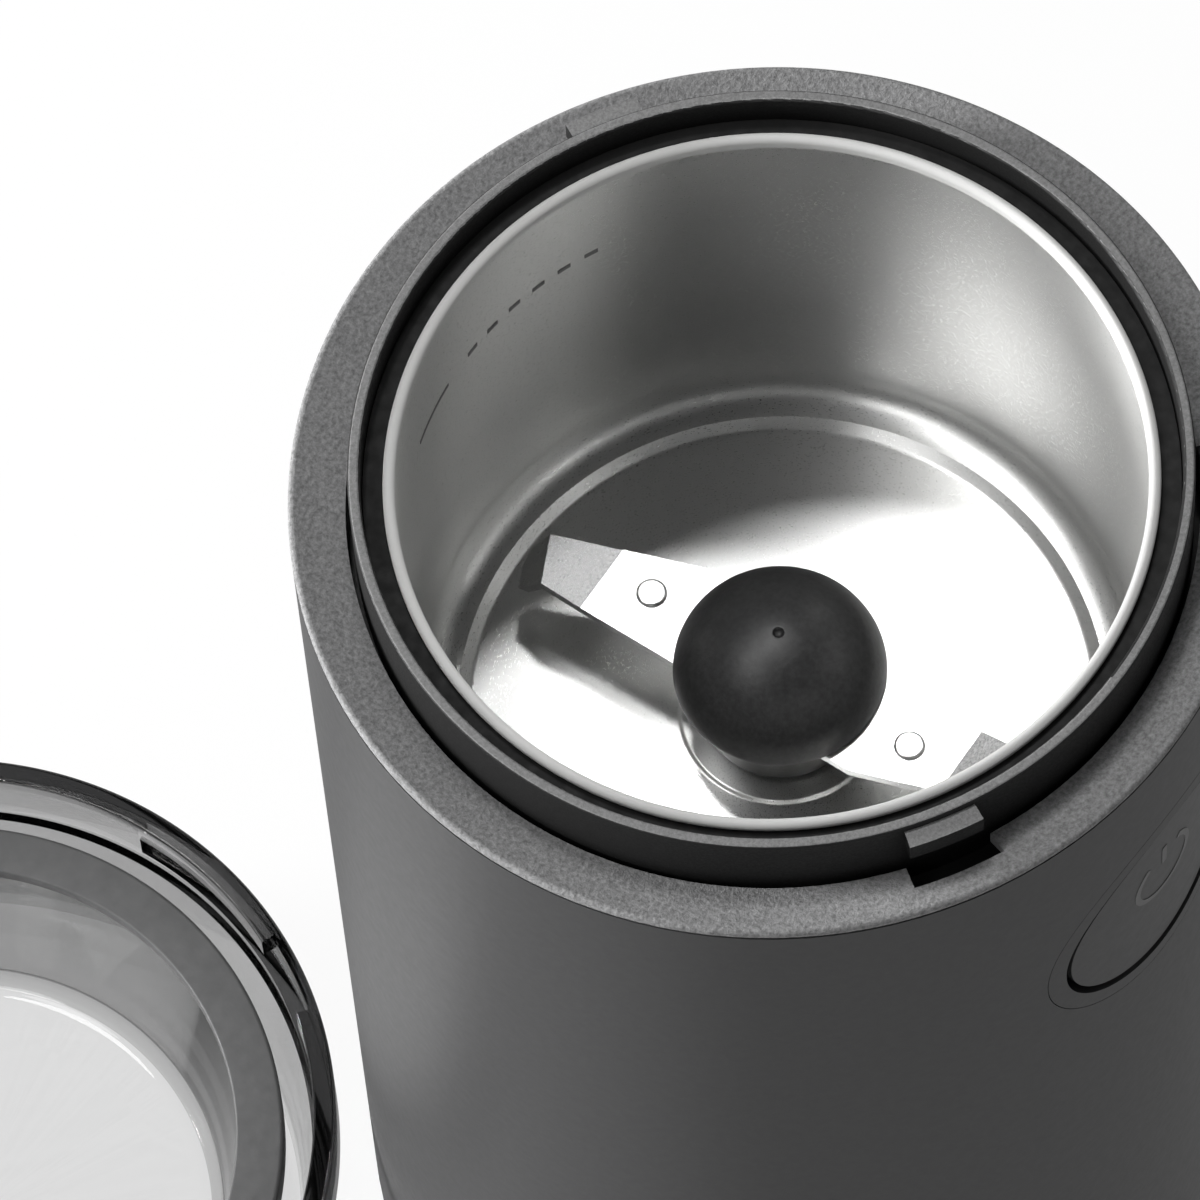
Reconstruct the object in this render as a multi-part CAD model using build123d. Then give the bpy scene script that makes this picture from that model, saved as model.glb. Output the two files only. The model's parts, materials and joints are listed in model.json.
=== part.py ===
"""Electric spice grinder: motor body, steel bowl with a two-wing blade, and a clear twist-on lid beside it.

Frame: millimetres, +Z up, the ground at z = 0, the grinder's axis on x = y = 0, the push button on the -Y side.
Radii are named *_R, heights above the ground *_Z, and angles about +Z from +X *_AZ, in degrees.
"""

import math
import os

from build123d import *

# Clearances
GAP = 0.3  # between pieces that move past each other
SLIP = 0.1  # between pieces assembled into one another
RUN = 0.05  # radial running clearance of a shaft or a pin

# Body and its base
BODY_R = 47.5
BODY_WALL = 2.5
BODY_HEIGHT = 158.0  # ground to the outer edge of the top ring
BODY_FOOT_ROUND = 1.2  # rounding of the housing's lower outer edge
LEDGE_WIDTH = 1.5  # inner ledge that the collar's plate lies on
LEDGE_HEIGHT = 2.0
FOOT_HEIGHT = 2.0
FOOT_R = 5.0
FOOT_RECESS = 0.8
FOOT_INSET = 9.0  # the feet's circle inside the body's surface
FOOT_AZIMUTHS = (50.0, 170.0, 290.0)
BASE_EDGE = 1.6  # visible thickness of the base cover below the housing
BASE_STEP = 0.7  # how far the base cover's edge stands back from the body
BASE_PLATE = 3.0
BASE_RIM_HEIGHT = 3.4
BASE_RIM_WALL = 1.4
VENT_COUNT = 12
VENT_IN_R = 13.5
VENT_LENGTH = 13.0
VENT_HALF = 1.4
BOSS_AZIMUTHS = (-10.0, 110.0, 230.0)  # screw bosses and the carrier's legs
BOSS_R = 3.1
BOSS_INSET = 3.0  # the bosses' circle inside the housing's wall
BOSS_HEIGHT = 14.0

# Screws
SCREW_R = 1.5
SCREW_HEAD_R = 2.6
SCREW_HEAD = 1.8
SCREW_LENGTH = 9.0
SCREW_RECESS_R = 1.1

# Top ring
RING_WIDTH = 5.6
RING_LIP = 0.9  # height of the ring's outer edge
RING_SEAM = 0.4  # groove between the ring and the housing
RING_SEAM_DEPTH = 0.6
RING_DISH = 1.7  # how far the ring's face falls towards the collar
RING_PLATE = 1.9
RING_ROUND = 0.45
RING_SKIRT = 0.9
RING_SKIRT_DEPTH = 4.1

# Collar that carries the lid, with two bayonet lugs
COLLAR_RISE = 6.2  # above the top ring's outer edge
COLLAR_WALL = 1.2
COLLAR_GROOVE = 0.6  # open line between the collar and the top ring
COLLAR_PLATE = 1.6
COLLAR_DEPTH = 7.2  # top ring's outer edge down to the collar's plate
LUG_AZIMUTHS = (-120.8, 59.2)
LUG_SPAN = 10.2
LUG_REACH = 1.8
LUG_HEIGHT = 2.5
LUG_DROP = 0.8  # lug's top below the collar's top
NOTCH_SPAN = 12.2
NOTCH_SHIFT = 0.9
NOTCH_DEPTH = 2.6

# Steel bowl and its gasket
BOWL_SHEET = 0.7
BOWL_DEPTH = 54.1  # rim to floor
BOWL_RIM_RISE = 3.7  # rim above the top ring's outer edge
RIM_ROLL_R = 0.6
BOWL_CORNER_R = 3.6
FLOOR_STEP = 1.0  # the floor lies this much below the rounded corner
FLOOR_STEP_WIDTH = 1.2
MIDDLE_R = 10.6  # raised middle of the floor
MIDDLE_RISE = 0.3
GASKET_BAND = 2.1
GASKET_DROP = 1.3  # gasket's top below the bowl's rim

# Blade and its hub
BLADE_THICK = 1.2
BLADE_ABOVE_FLOOR = 8.5
BLADE_AZ = 92.5
BACK_EDGE = 5.3  # straight back edge's distance from the wing's middle line
CUTTING_EDGE = ((0.0, -5.6), (12.0, -5.6), (16.8, -4.0), (21.0, -2.5))  # the last one is on the bend
WING_BEND = 10.0  # degrees, upwards
CREASE_BACK = (25.8, 5.5)
CREASE_FRONT = (28.1, 0.5)
TIP_LEAF = ((0.9, 3.2), (2.6, 4.6), (5.0, 4.4))  # along the crease from its front end, and out from it
TIP_FOLD = 63.0  # degrees, downwards
DIMPLE_AT = 15.7
DIMPLE_R = 1.6
DIMPLE_RISE = 0.4
CAP_R = 10.9
CAP_HEIGHT = 8.7
CAP_DIMPLE_R = 0.6
HUB_TOP_R = 10.2
HUB_FOOT_R = 8.1
HUB_FLOOR_GAP = 1.0

# Shaft, seal and bearings
SHAFT_R = 3.0
ROTOR_SHAFT_R = 4.0
SHAFT_IN_CAP = 5.8
SEAL_R = 7.0
SEAL_FLANGE_R = 8.4
SEAL_FLANGE = 2.0
SEAL_LIP_R = 7.6
SEAL_LIP = 0.4  # how far the seal stands above the bowl's middle
BEARING_R = 7.5
BEARING_HEIGHT = 5.5
POCKET_WALL = 1.2
END_PLAY = 0.5

# Carrier under the bowl
CARRIER_PLATE = 3.0
CARRIER_GAP = 3.1  # between the carrier's plate and the bowl
CARRIER_HOLE_R = 10.0
CARRIER_RIB_R = 19.0
CARRIER_RIB_WALL = 2.0
LEG_R = 3.4
LEG_INSET = 14.0  # the legs' circle inside the body's surface

# Motor, measured down from the carrier
CUSHION_R = 4.0
CUSHION_HEIGHT = 6.0
CUSHION_INSET = 6.0  # the cushions' circle inside the bracket's edge
BRACKET_PLATE = 2.0
MOTOR_CLEAR = 2.6  # between the motor and the carrier's legs
BRACKET_WINDOW_IN_R = 11.0
BRACKET_EDGE = 7.5  # from the windows to the bracket's edge
BRACKET_WINDOW_SPAN = 50.0
COLUMN_R = 2.9
COLUMN_INSET = 3.2  # the columns' circle inside the stator's surface
UPPER_COLUMN = 20.0
LOWER_COLUMN = 22.0
MOTOR_SCREW_R = 1.6
STATOR_FLAT_DEPTH = 2.3
YOKE = 4.1  # steel outside the coils
POLE_SHOE = 1.8  # steel inside the coils
AIR_GAP = 0.6
ROTOR_SHARE = 0.56  # the rotor's radius, of the stator's
COIL_SPAN = 122.0
POLE_SPAN = 84.0
COIL_OVERHANG = 4.8
SLOT_COUNT = 12
SLOT_INSET = 3.2  # the slots' circle inside the rotor's surface
SLOT_PITCH = 6.1  # the slots' circle is this many slot radii
SLOT_OPENING_HALF = 0.6
WINDING_OVERHANG = 4.6
WINDING_IN_R = 6.0
WINDING_INSET = 1.2
COMMUTATOR_R = 9.0
COMMUTATOR_HEIGHT = 10.0
COMMUTATOR_ABOVE_BRACKET = 4.4
COMMUTATOR_BARS = 12
BAR_GROOVE = 0.5
BRUSH_WIDTH = 5.0
BRUSH_HEIGHT = 6.4
HOLDER_WALL = 1.0
HOLDER_CLEAR = 3.0  # between the commutator and the holders
HOLDER_OVER = 0.3  # how far the holders stand past the stator's flats
BRUSH_OVER_SPRING = 0.5  # how much longer a brush is than its spring
BRUSH_SPRING_R = 1.9
BRUSH_WIRE_R = 0.25
BRUSH_SPRING_TURNS = 5.0
FAN_CLEAR = 1.0  # between the fan and the columns
FAN_HEIGHT = 7.0
FAN_BLADES = 14
FAN_BLADE = 1.0
FAN_DISC = 1.2
FAN_HUB_R = 7.0
FAN_ABOVE_STACK = 7.4
PAD_R = 11.0
PAD_IN_R = 4.0
PAD_HEIGHT = 7.1

# Push button with its bezel, in the housing's front
BUTTON_R = 13.1
BUTTON_BELOW_MIDDLE = 0.3  # below the middle of the room between the carrier and the ledge
BUTTON_TRAVEL = 2.5
BUTTON_THICK = 3.2
BUTTON_SUNK = 0.2  # how far the button's face lies inside the body's surface
BUTTON_SKIRT = 1.2
BUTTON_SKIRT_DEPTH = 1.7
BEZEL_GAP = 0.8
BEZEL_R = 16.0
BEZEL_DEPTH = 9.1  # the bezel's rear edge inside the body's surface
BEZEL_FLANGE = 1.4
BEZEL_FLANGE_THICK = 1.2
BAR_THICK = 1.0
BAR_HALF = 2.6
ARM_HALF = 5.0
ARM_THICK = 1.9
ARM_CLEAR = 0.7  # between the arm and the housing's inside
ARM_TOP_DROP = 7.0  # arm's upper end below the button's centre
NUB_HALF = 1.5
NUB_R = 1.0
BUTTON_SPRING_R = 3.0
BUTTON_WIRE_R = 0.3
BUTTON_SPRING_TURNS = 2.5

# Micro switches: one behind the button, one for the lid interlock
SWITCH_WIDTH = 12.8
SWITCH_THICK = 5.8
SWITCH_HEIGHT = 6.5
LEVER_THICK = 0.4
LEVER_HALF = 2.0
LEVER_PIVOT = 5.6  # pivot's distance from the switch's middle
LEVER_END = 6.0
LEVER_RISE = 1.0  # pivot above the switch's face
LEVER_PRESS_AT = 2.0  # where the lever is pressed, from the switch's middle
LEVER_SPARE = 1.0  # degrees left when the lever is fully pressed
PIVOT_R = 0.35
EAR_THICK = 0.8
EAR_R = 0.9
PLUNGER_AT = 2.4
PLUNGER_R = 0.7
PLUNGER_LENGTH = 3.0
TERMINAL_LENGTH = 4.0
TERMINAL_HALF = 1.2
TERMINAL_THICK = 0.5
TERMINAL_STEP = 4.6
CHEEK = 1.2
MAIN_SWITCH_DROP = 3.9  # the main switch's middle below the carrier
MAIN_SWITCH_DEPTH = 11.0  # the main switch's face inside the body's surface

# Lid interlock
INTERLOCK_AZ = -50.0
INTERLOCK_TRAVEL = 2.0
INTERLOCK_RISE = 2.1  # pin's top above the top ring's outer edge
INTERLOCK_NOTCH_SPAN = 6.6
PIN_R = 1.0
SHOULDER_R = 1.8
SHOULDER = 1.2
INTERLOCK_SPRING = 9.1
INTERLOCK_SPRING_R = 1.5
INTERLOCK_WIRE_R = 0.2
INTERLOCK_TURNS = 7.0
SEAT_PLATE = 1.2
SEAT_TO_TIP = 1.3
INTERLOCK_SWITCH_INSET = 4.0  # the switch's middle inside the housing's wall
CHEEK_DEPTH = 2.25  # half the depth of the bracket's cheeks

# Circuit board and cord gland
BOARD_INSET = 10.5  # the board's outer face inside the body's surface
BOARD_WIDTH = 30.0
BOARD_MARGIN = 2.5  # above and between the parts on the board
BOARD_THICK = 1.6
BOARD_SLOT = 3.4
BOARD_SLOT_WALL = 1.3
CAPACITOR_WIDTH = 18.0
CAPACITOR_HEIGHT = 12.0
CAPACITOR_RISE = 17.0  # above the base
CAPACITOR_CLEAR = 1.9  # between the capacitor and the brush holder
RECTIFIER_DEPTH = 5.0
RECTIFIER_WIDTH = 10.0
RECTIFIER_HEIGHT = 4.0
GLAND_Z = 16.4
GLAND_R = 5.6
GLAND_BORE_R = 3.3
GLAND_FLANGE_R = 7.4
GLAND_FLANGE = 1.8
GLAND_LENGTH = 12.0
GLAND_NUT_R = 7.2
GLAND_NUT = 3.0

# Lid: written as it stands on the grinder, then turned over and set down beside it
LID_CHANNEL_WALL = 0.8  # outside the channels for the lugs
LID_HEIGHT = 31.0
LID_WALL = 2.3
LID_RIM_BAND = 8.2
LID_SHOULDER = 0.8
LID_TAPER = 3.2  # how much the lid's top is smaller than its rim
LID_TOP_ROUND = 5.0
LID_PLATE = 3.0
LID_EDGE_ROUND = 0.5
LID_COLLAR_GAP = 0.4
LID_SKIRT_WALL = 2.2
LID_SKIRT_GAP = 0.4  # the inner skirt's lower end inside the bowl
LID_SKIRT_UP = 6.4  # skirt's lower end above the lid's rim
LID_SKIRT_LEAN = 6.8  # from the skirt's lower end in to the cavity's wall at the top
LID_CAVITY_ROUND = 3.0
SEAL_RING_WIDTH = 3.4  # inside the skirt's surface
SEAL_RING_BAND = 1.7
SEAL_RING_FACE = 1.7
SEAL_RING_LEG = 2.6
LUG_CHANNEL_LOW = 3.4
LUG_CHANNEL_HIGH = 6.9
LUG_CHANNEL_ENTRY = 13.0
LUG_CHANNEL_LOCK = 27.0
CHANNEL_AZ = -22.6  # where the lock channel begins, with the lid upside down in its place
LID_AZ = 134.0
LID_ASIDE = 3.3  # between the lid and the body

# Worked out from the sizes above
HOUSING_IN_R = BODY_R - BODY_WALL
BASE_Z = FOOT_HEIGHT
HOUSING_Z = BASE_Z + BASE_EDGE
BASE_TOP_Z = BASE_Z + BASE_PLATE
HOUSING_TOP_Z = BODY_HEIGHT - RING_LIP - RING_SEAM
FOOT_CIRCLE_R = BODY_R - FOOT_INSET
BOSS_CIRCLE_R = HOUSING_IN_R - BOSS_INSET
LEG_CIRCLE_R = BODY_R - LEG_INSET
RING_IN_R = BODY_R - RING_WIDTH
COLLAR_R = RING_IN_R - COLLAR_GROOVE
COLLAR_IN_R = COLLAR_R - COLLAR_WALL
COLLAR_TOP_Z = BODY_HEIGHT + COLLAR_RISE
PLATE_Z = BODY_HEIGHT - COLLAR_DEPTH
LEDGE_Z = PLATE_Z - LEDGE_HEIGHT
BOWL_R = COLLAR_IN_R - GASKET_BAND - 2 * RIM_ROLL_R
BOWL_OUT_R = BOWL_R + BOWL_SHEET
RIM_Z = BODY_HEIGHT + BOWL_RIM_RISE
FLOOR_Z = RIM_Z - BOWL_DEPTH
BLADE_Z = FLOOR_Z + BLADE_ABOVE_FLOOR
CAP_Z = BLADE_Z + BLADE_THICK
CARRIER_TOP_Z = FLOOR_Z - BOWL_SHEET - CARRIER_GAP
CARRIER_Z = CARRIER_TOP_Z - CARRIER_PLATE

UPPER_BRACKET_Z = CARRIER_Z - CUSHION_HEIGHT - BRACKET_PLATE
LOWER_POCKET_Z = BASE_TOP_Z + PAD_HEIGHT
LOWER_BRACKET_TOP_Z = LOWER_POCKET_Z + POCKET_WALL + BEARING_HEIGHT
LOWER_BRACKET_Z = LOWER_BRACKET_TOP_Z - BRACKET_PLATE
STACK_Z = LOWER_BRACKET_TOP_Z + LOWER_COLUMN
STACK_TOP_Z = UPPER_BRACKET_Z - UPPER_COLUMN
STACK_HEIGHT = STACK_TOP_Z - STACK_Z
STATOR_R = LEG_CIRCLE_R - LEG_R - MOTOR_CLEAR
STATOR_FLAT = STATOR_R - STATOR_FLAT_DEPTH
ROTOR_R = ROTOR_SHARE * STATOR_R
STATOR_BORE_R = ROTOR_R + AIR_GAP
COIL_IN_R = STATOR_BORE_R + POLE_SHOE
COIL_OUT_R = STATOR_R - YOKE
SLOT_CIRCLE_R = ROTOR_R - SLOT_INSET
SLOT_R = SLOT_CIRCLE_R / SLOT_PITCH
WINDING_OUT_R = ROTOR_R - WINDING_INSET
BRACKET_R = STATOR_R
BRACKET_WINDOW_OUT_R = BRACKET_R - BRACKET_EDGE
CUSHION_CIRCLE_R = BRACKET_R - CUSHION_INSET
COLUMN_CIRCLE_R = STATOR_R - COLUMN_INSET
FAN_R = COLUMN_CIRCLE_R - COLUMN_R - FAN_CLEAR
FAN_Z = STACK_TOP_Z + FAN_ABOVE_STACK
COMMUTATOR_Z = LOWER_BRACKET_TOP_Z + COMMUTATOR_ABOVE_BRACKET
BRUSH_Z = COMMUTATOR_Z + COMMUTATOR_HEIGHT / 2
HOLDER_IN_R = COMMUTATOR_R + HOLDER_CLEAR
HOLDER_OUT_R = STATOR_FLAT + HOLDER_OVER
BRUSH_ROOM = HOLDER_OUT_R - HOLDER_WALL - COMMUTATOR_R
BRUSH_LENGTH = (BRUSH_ROOM + BRUSH_OVER_SPRING) / 2
BRUSH_SPRING = BRUSH_ROOM - BRUSH_LENGTH

BUTTON_Z = (CARRIER_TOP_Z + LEDGE_Z) / 2 - BUTTON_BELOW_MIDDLE
BUTTON_BACK = BODY_R - BUTTON_SUNK - BUTTON_THICK
BEZEL_REAR = BODY_R - BEZEL_DEPTH
ARM_OUT = HOUSING_IN_R - ARM_CLEAR
ARM_IN = ARM_OUT - ARM_THICK
MAIN_SWITCH_Z = CARRIER_Z - MAIN_SWITCH_DROP
MAIN_SWITCH_FACE = BODY_R - MAIN_SWITCH_DEPTH
LEVER_ARM = LEVER_PIVOT + LEVER_PRESS_AT
PIN_AT_R = COLLAR_R + GAP + PIN_R + RUN
PIN_TOP_Z = BODY_HEIGHT + INTERLOCK_RISE
SHOULDER_TOP_Z = PLATE_Z - GAP
SEAT_TOP_Z = SHOULDER_TOP_Z - SHOULDER - INTERLOCK_SPRING
PIN_TIP_Z = SEAT_TOP_Z - SEAT_PLATE - SEAT_TO_TIP
INTERLOCK_SWITCH_R = HOUSING_IN_R - INTERLOCK_SWITCH_INSET

BOARD_X = BOARD_INSET - BODY_R
CAPACITOR_DEPTH = BODY_R - BOARD_INSET - BOARD_THICK - HOLDER_OUT_R - CAPACITOR_CLEAR
CAPACITOR_Z = BASE_TOP_Z + CAPACITOR_RISE
RECTIFIER_Z = CAPACITOR_Z + CAPACITOR_HEIGHT + BOARD_MARGIN
BOARD_TOP_Z = RECTIFIER_Z + RECTIFIER_HEIGHT + BOARD_MARGIN

LID_CHANNEL_R = COLLAR_R + LUG_REACH + GAP
LID_RIM_R = LID_CHANNEL_R + LID_CHANNEL_WALL
LID_TOP_R = LID_RIM_R - LID_TAPER
LID_SKIRT_R = BOWL_R - LID_SKIRT_GAP
LID_CAVITY_R = LID_SKIRT_R - LID_SKIRT_LEAN
SEAL_RING_IN_R = LID_SKIRT_R - SEAL_RING_WIDTH
LID_DISTANCE = BODY_R + LID_RIM_R + LID_ASIDE


# Helpers
def tube(inner_r, outer_r, low_z, high_z):
    """A ring about the axis."""
    return Pos(0, 0, low_z) * extrude(Circle(outer_r) - Circle(inner_r), high_z - low_z)


def disc(r, low_z, high_z):
    """A plain cylinder about the axis."""
    return Pos(0, 0, low_z) * extrude(Circle(r), high_z - low_z)


def spun(outline, arc=360.0):
    """A flat face drawn in (radius, height), turned about the axis."""
    return revolve(Plane.XZ * outline, Axis.Z, revolution_arc=arc)


def polygon(*points):
    """A closed flat outline with straight sides."""
    return make_face(Polyline(*points, close=True))


def sector(inner_r, outer_r, low_z, high_z, azimuth, span):
    """A piece of a ring, centred on an azimuth."""
    section = polygon((inner_r, low_z), (outer_r, low_z), (outer_r, high_z), (inner_r, high_z))
    return Rot(0, 0, azimuth - span / 2) * spun(section, span)


def block(low, high):
    """A box between two corners."""
    size = [b - a for a, b in zip(low, high)]
    middle = [(a + b) / 2 for a, b in zip(low, high)]
    return Pos(*middle) * Box(*size)


def on_circle(shape, circle_r, azimuths):
    """Copies of a shape made on the axis, moved out to a circle."""
    return [Rot(0, 0, az) * Pos(circle_r, 0, 0) * shape for az in azimuths]


def around(shape, count):
    """Copies of a shape, evenly turned about the axis."""
    return [Rot(0, 0, 360.0 * k / count) * shape for k in range(count)]


def joined(shapes):
    """One part from several shapes, whether they touch or not."""
    return Part() + shapes


def round_edges(shape, r, z, size):
    """Rounds the circular edges that have this radius and height."""
    circles = shape.edges().filter_by(GeomType.CIRCLE)
    wanted = [e for e in circles if abs(e.radius - r) < 0.01 and abs(e.arc_center.Z - z) < 0.01]
    return fillet(wanted, size)


def screw(seat_z, length):
    """A pan head screw that points up, with its head below seat_z."""
    head_z = seat_z - SCREW_HEAD
    recess = disc(SCREW_RECESS_R, head_z, head_z + SCREW_HEAD / 2)
    return disc(SCREW_R, seat_z, seat_z + length) + disc(SCREW_HEAD_R, head_z, seat_z) - recess


def coil_spring(mean_r, wire_r, length, turns):
    """A helical spring standing on z = 0."""
    rise = length - 2 * wire_r
    path = Helix(pitch=rise / turns, height=rise, radius=mean_r)
    wire = Plane(origin=path @ 0, z_dir=path % 0) * Circle(wire_r)
    return Pos(0, 0, wire_r) * sweep(wire, path=path, is_frenet=True)


def to_front(shape):
    """Turns a shape made along +Z so that it points to -Y."""
    return Rot(90, 0, 0) * shape


def to_back(shape):
    """Turns a shape made along +Z so that it points to +Y."""
    return Rot(-90, 0, 0) * shape


def to_interlock(shape):
    """Turns a shape made on the +Y side round to the interlock."""
    return Rot(0, 0, INTERLOCK_AZ - 90) * shape


def lid_down(shape):
    """Turns the lid over and sets it down beside the body."""
    angle = math.radians(LID_AZ)
    place = Pos(LID_DISTANCE * math.cos(angle), LID_DISTANCE * math.sin(angle), LID_HEIGHT)
    return place * Rot(180, 0, 0) * shape


# Body
def body_housing():
    shell = tube(HOUSING_IN_R, BODY_R, HOUSING_Z, HOUSING_TOP_Z)
    shell = round_edges(shell, BODY_R, HOUSING_Z, BODY_FOOT_ROUND)
    ledge = tube(HOUSING_IN_R - LEDGE_WIDTH, BODY_R - BODY_WALL / 2, LEDGE_Z, PLATE_Z)
    bracket_room = 2 * SWITCH_WIDTH / INTERLOCK_SWITCH_R
    gap_span = math.degrees(bracket_room)
    ledge -= sector(0, BODY_R, PLATE_Z - 2 * LEDGE_HEIGHT, PLATE_Z + 1, INTERLOCK_AZ, gap_span)
    shell += ledge
    boss_top = CARRIER_TOP_Z + BOSS_HEIGHT
    boss = disc(BOSS_R, CARRIER_TOP_Z, boss_top)
    inside = disc(BODY_R - BODY_WALL / 2, CARRIER_TOP_Z, boss_top)
    shell += [copy & inside for copy in on_circle(boss, BOSS_CIRCLE_R, BOSS_AZIMUTHS)]
    screw_hole = disc(SCREW_R + SLIP, CARRIER_TOP_Z, boss_top)
    shell -= on_circle(screw_hole, BOSS_CIRCLE_R, BOSS_AZIMUTHS)
    shell -= Pos(0, 0, BUTTON_Z) * to_front(disc(BEZEL_R + SLIP, 0, 2 * BODY_R))
    shell -= Pos(0, 0, GLAND_Z) * to_back(disc(GLAND_R + SLIP, 0, 2 * BODY_R))
    return shell


def top_ring():
    face_z = BODY_HEIGHT - RING_DISH
    seam_r = BODY_R - RING_SEAM_DEPTH
    skirt_r = HOUSING_IN_R - SLIP
    skirt_z = HOUSING_TOP_Z - RING_SKIRT_DEPTH
    outline = polygon(
        (RING_IN_R, face_z),
        (BODY_R, BODY_HEIGHT),
        (BODY_R, BODY_HEIGHT - RING_LIP),
        (seam_r, BODY_HEIGHT - RING_LIP),
        (seam_r, HOUSING_TOP_Z),
        (skirt_r, HOUSING_TOP_Z),
        (skirt_r, skirt_z),
        (skirt_r - RING_SKIRT, skirt_z),
        (skirt_r - RING_SKIRT, HOUSING_TOP_Z - RING_PLATE / 2),
        (RING_IN_R, face_z - RING_PLATE),
    )
    ring = round_edges(spun(outline), BODY_R, BODY_HEIGHT, RING_ROUND)
    low_z = skirt_z - 1
    high_z = BODY_HEIGHT + 1
    notch_r = RING_IN_R + NOTCH_DEPTH
    for azimuth in LUG_AZIMUTHS:
        ring -= sector(RING_IN_R - 1, notch_r, low_z, high_z, azimuth + NOTCH_SHIFT, NOTCH_SPAN)
    return ring - sector(RING_IN_R - 1, notch_r, low_z, high_z, INTERLOCK_AZ, INTERLOCK_NOTCH_SPAN)


def bowl_collar():
    wall = tube(COLLAR_IN_R, COLLAR_R, PLATE_Z, COLLAR_TOP_Z)
    wall = round_edges(wall, COLLAR_R, COLLAR_TOP_Z, COLLAR_WALL / 4)
    wall = round_edges(wall, COLLAR_IN_R, COLLAR_TOP_Z, COLLAR_WALL / 4)
    plate = tube(BOWL_OUT_R + GAP, HOUSING_IN_R - 2 * SLIP, PLATE_Z, PLATE_Z + COLLAR_PLATE)
    lug_top = COLLAR_TOP_Z - LUG_DROP
    lug_r = COLLAR_R + LUG_REACH
    lugs = [
        sector(COLLAR_R - SLIP, lug_r, lug_top - LUG_HEIGHT, lug_top, azimuth, LUG_SPAN)
        for azimuth in LUG_AZIMUTHS
    ]
    guide = Pos(0, PIN_AT_R, 0) * disc(PIN_R + 4 * RUN, PLATE_Z - 1, PLATE_Z + COLLAR_PLATE + 1)
    return wall + plate + lugs - to_interlock(guide)


def bowl_gasket():
    low_z = PLATE_Z + COLLAR_PLATE
    return tube(BOWL_OUT_R + SLIP, COLLAR_IN_R - SLIP, low_z, RIM_Z - GASKET_DROP)


def bowl_surface(offset):
    """The bowl's inside from rim to floor, moved outwards by an offset."""
    corner_z = FLOOR_Z + FLOOR_STEP + BOWL_CORNER_R
    corner_r = BOWL_R - BOWL_CORNER_R
    top = (BOWL_R + offset, RIM_Z - RIM_ROLL_R)
    wall_end = (BOWL_R + offset, corner_z)
    corner_end = (corner_r, FLOOR_Z + FLOOR_STEP - offset)
    step_end = (corner_r - FLOOR_STEP_WIDTH, FLOOR_Z - offset)
    middle_foot = (MIDDLE_R, FLOOR_Z - offset)
    middle_edge = (MIDDLE_R - MIDDLE_RISE, FLOOR_Z + MIDDLE_RISE - offset)
    floor_end = (SEAL_R + SLIP, FLOOR_Z + MIDDLE_RISE - offset)
    corner = CenterArc((corner_r, corner_z), BOWL_CORNER_R + offset, 0, -90)
    floor = Polyline(corner_end, step_end, middle_foot, middle_edge, floor_end)
    return [Line(top, wall_end), corner, floor], top, floor_end


def steel_bowl():
    inner, inner_top, inner_floor = bowl_surface(0.0)
    outer, outer_top, outer_floor = bowl_surface(BOWL_SHEET)
    section = make_face(inner + outer + [Line(inner_top, outer_top), Line(inner_floor, outer_floor)])
    roll = Pos(BOWL_R + RIM_ROLL_R, RIM_Z - RIM_ROLL_R) * Circle(RIM_ROLL_R)
    return spun(section) + spun(roll)


def shaft_seal():
    """Rubber seal in the bowl's floor: a flange below, a lip above, and a bore that the shaft runs in."""
    bore_r = SHAFT_R + RUN
    middle_z = FLOOR_Z + MIDDLE_RISE
    under_z = middle_z - BOWL_SHEET
    flange = tube(bore_r, SEAL_FLANGE_R, under_z - SEAL_FLANGE, under_z)
    neck = tube(bore_r, SEAL_R, under_z, middle_z)
    return flange + neck + tube(bore_r, SEAL_LIP_R, middle_z, middle_z + SEAL_LIP)


def bowl_carrier():
    """Plate that the bowl stands on and the motor hangs from, with three legs down to the base."""
    plate = tube(CARRIER_HOLE_R, HOUSING_IN_R - 2 * SLIP, CARRIER_Z, CARRIER_TOP_Z)
    rib = tube(CARRIER_RIB_R - CARRIER_RIB_WALL, CARRIER_RIB_R, CARRIER_TOP_Z, FLOOR_Z - BOWL_SHEET)
    legs = on_circle(disc(LEG_R, BASE_TOP_Z, CARRIER_Z), LEG_CIRCLE_R, BOSS_AZIMUTHS)
    carrier = plate + rib + legs
    through = disc(SCREW_R + SLIP, CARRIER_Z, CARRIER_TOP_Z)
    carrier -= on_circle(through, BOSS_CIRCLE_R, BOSS_AZIMUTHS)
    carrier -= on_circle(through, CUSHION_CIRCLE_R, BOSS_AZIMUTHS)
    leg_hole = disc(SCREW_R + SLIP, BASE_TOP_Z, BASE_TOP_Z + SCREW_LENGTH)
    carrier -= on_circle(leg_hole, LEG_CIRCLE_R, BOSS_AZIMUTHS)
    arm_room = ARM_HALF + 2 * GAP
    arm_reach = ARM_IN - BUTTON_TRAVEL - 2 * GAP
    return carrier - block((-arm_room, -BODY_R, CARRIER_Z), (arm_room, -arm_reach, CARRIER_TOP_Z))


def carrier_screws():
    return joined(on_circle(screw(CARRIER_Z, SCREW_LENGTH), BOSS_CIRCLE_R, BOSS_AZIMUTHS))


# Base
def board_slot():
    """Channel on the base cover that the circuit board stands in."""
    half = BOARD_WIDTH / 2
    low = (BOARD_X - BOARD_SLOT_WALL, -half - BOARD_SLOT_WALL, BASE_TOP_Z)
    high = (BOARD_X + BOARD_THICK + BOARD_SLOT_WALL, half + BOARD_SLOT_WALL, BASE_TOP_Z + BOARD_SLOT)
    board_low = (BOARD_X - SLIP, -half - SLIP, BASE_TOP_Z)
    board_high = (BOARD_X + BOARD_THICK + SLIP, half + SLIP, BASE_TOP_Z + BOARD_SLOT)
    return block(low, high) - block(board_low, board_high)


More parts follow.
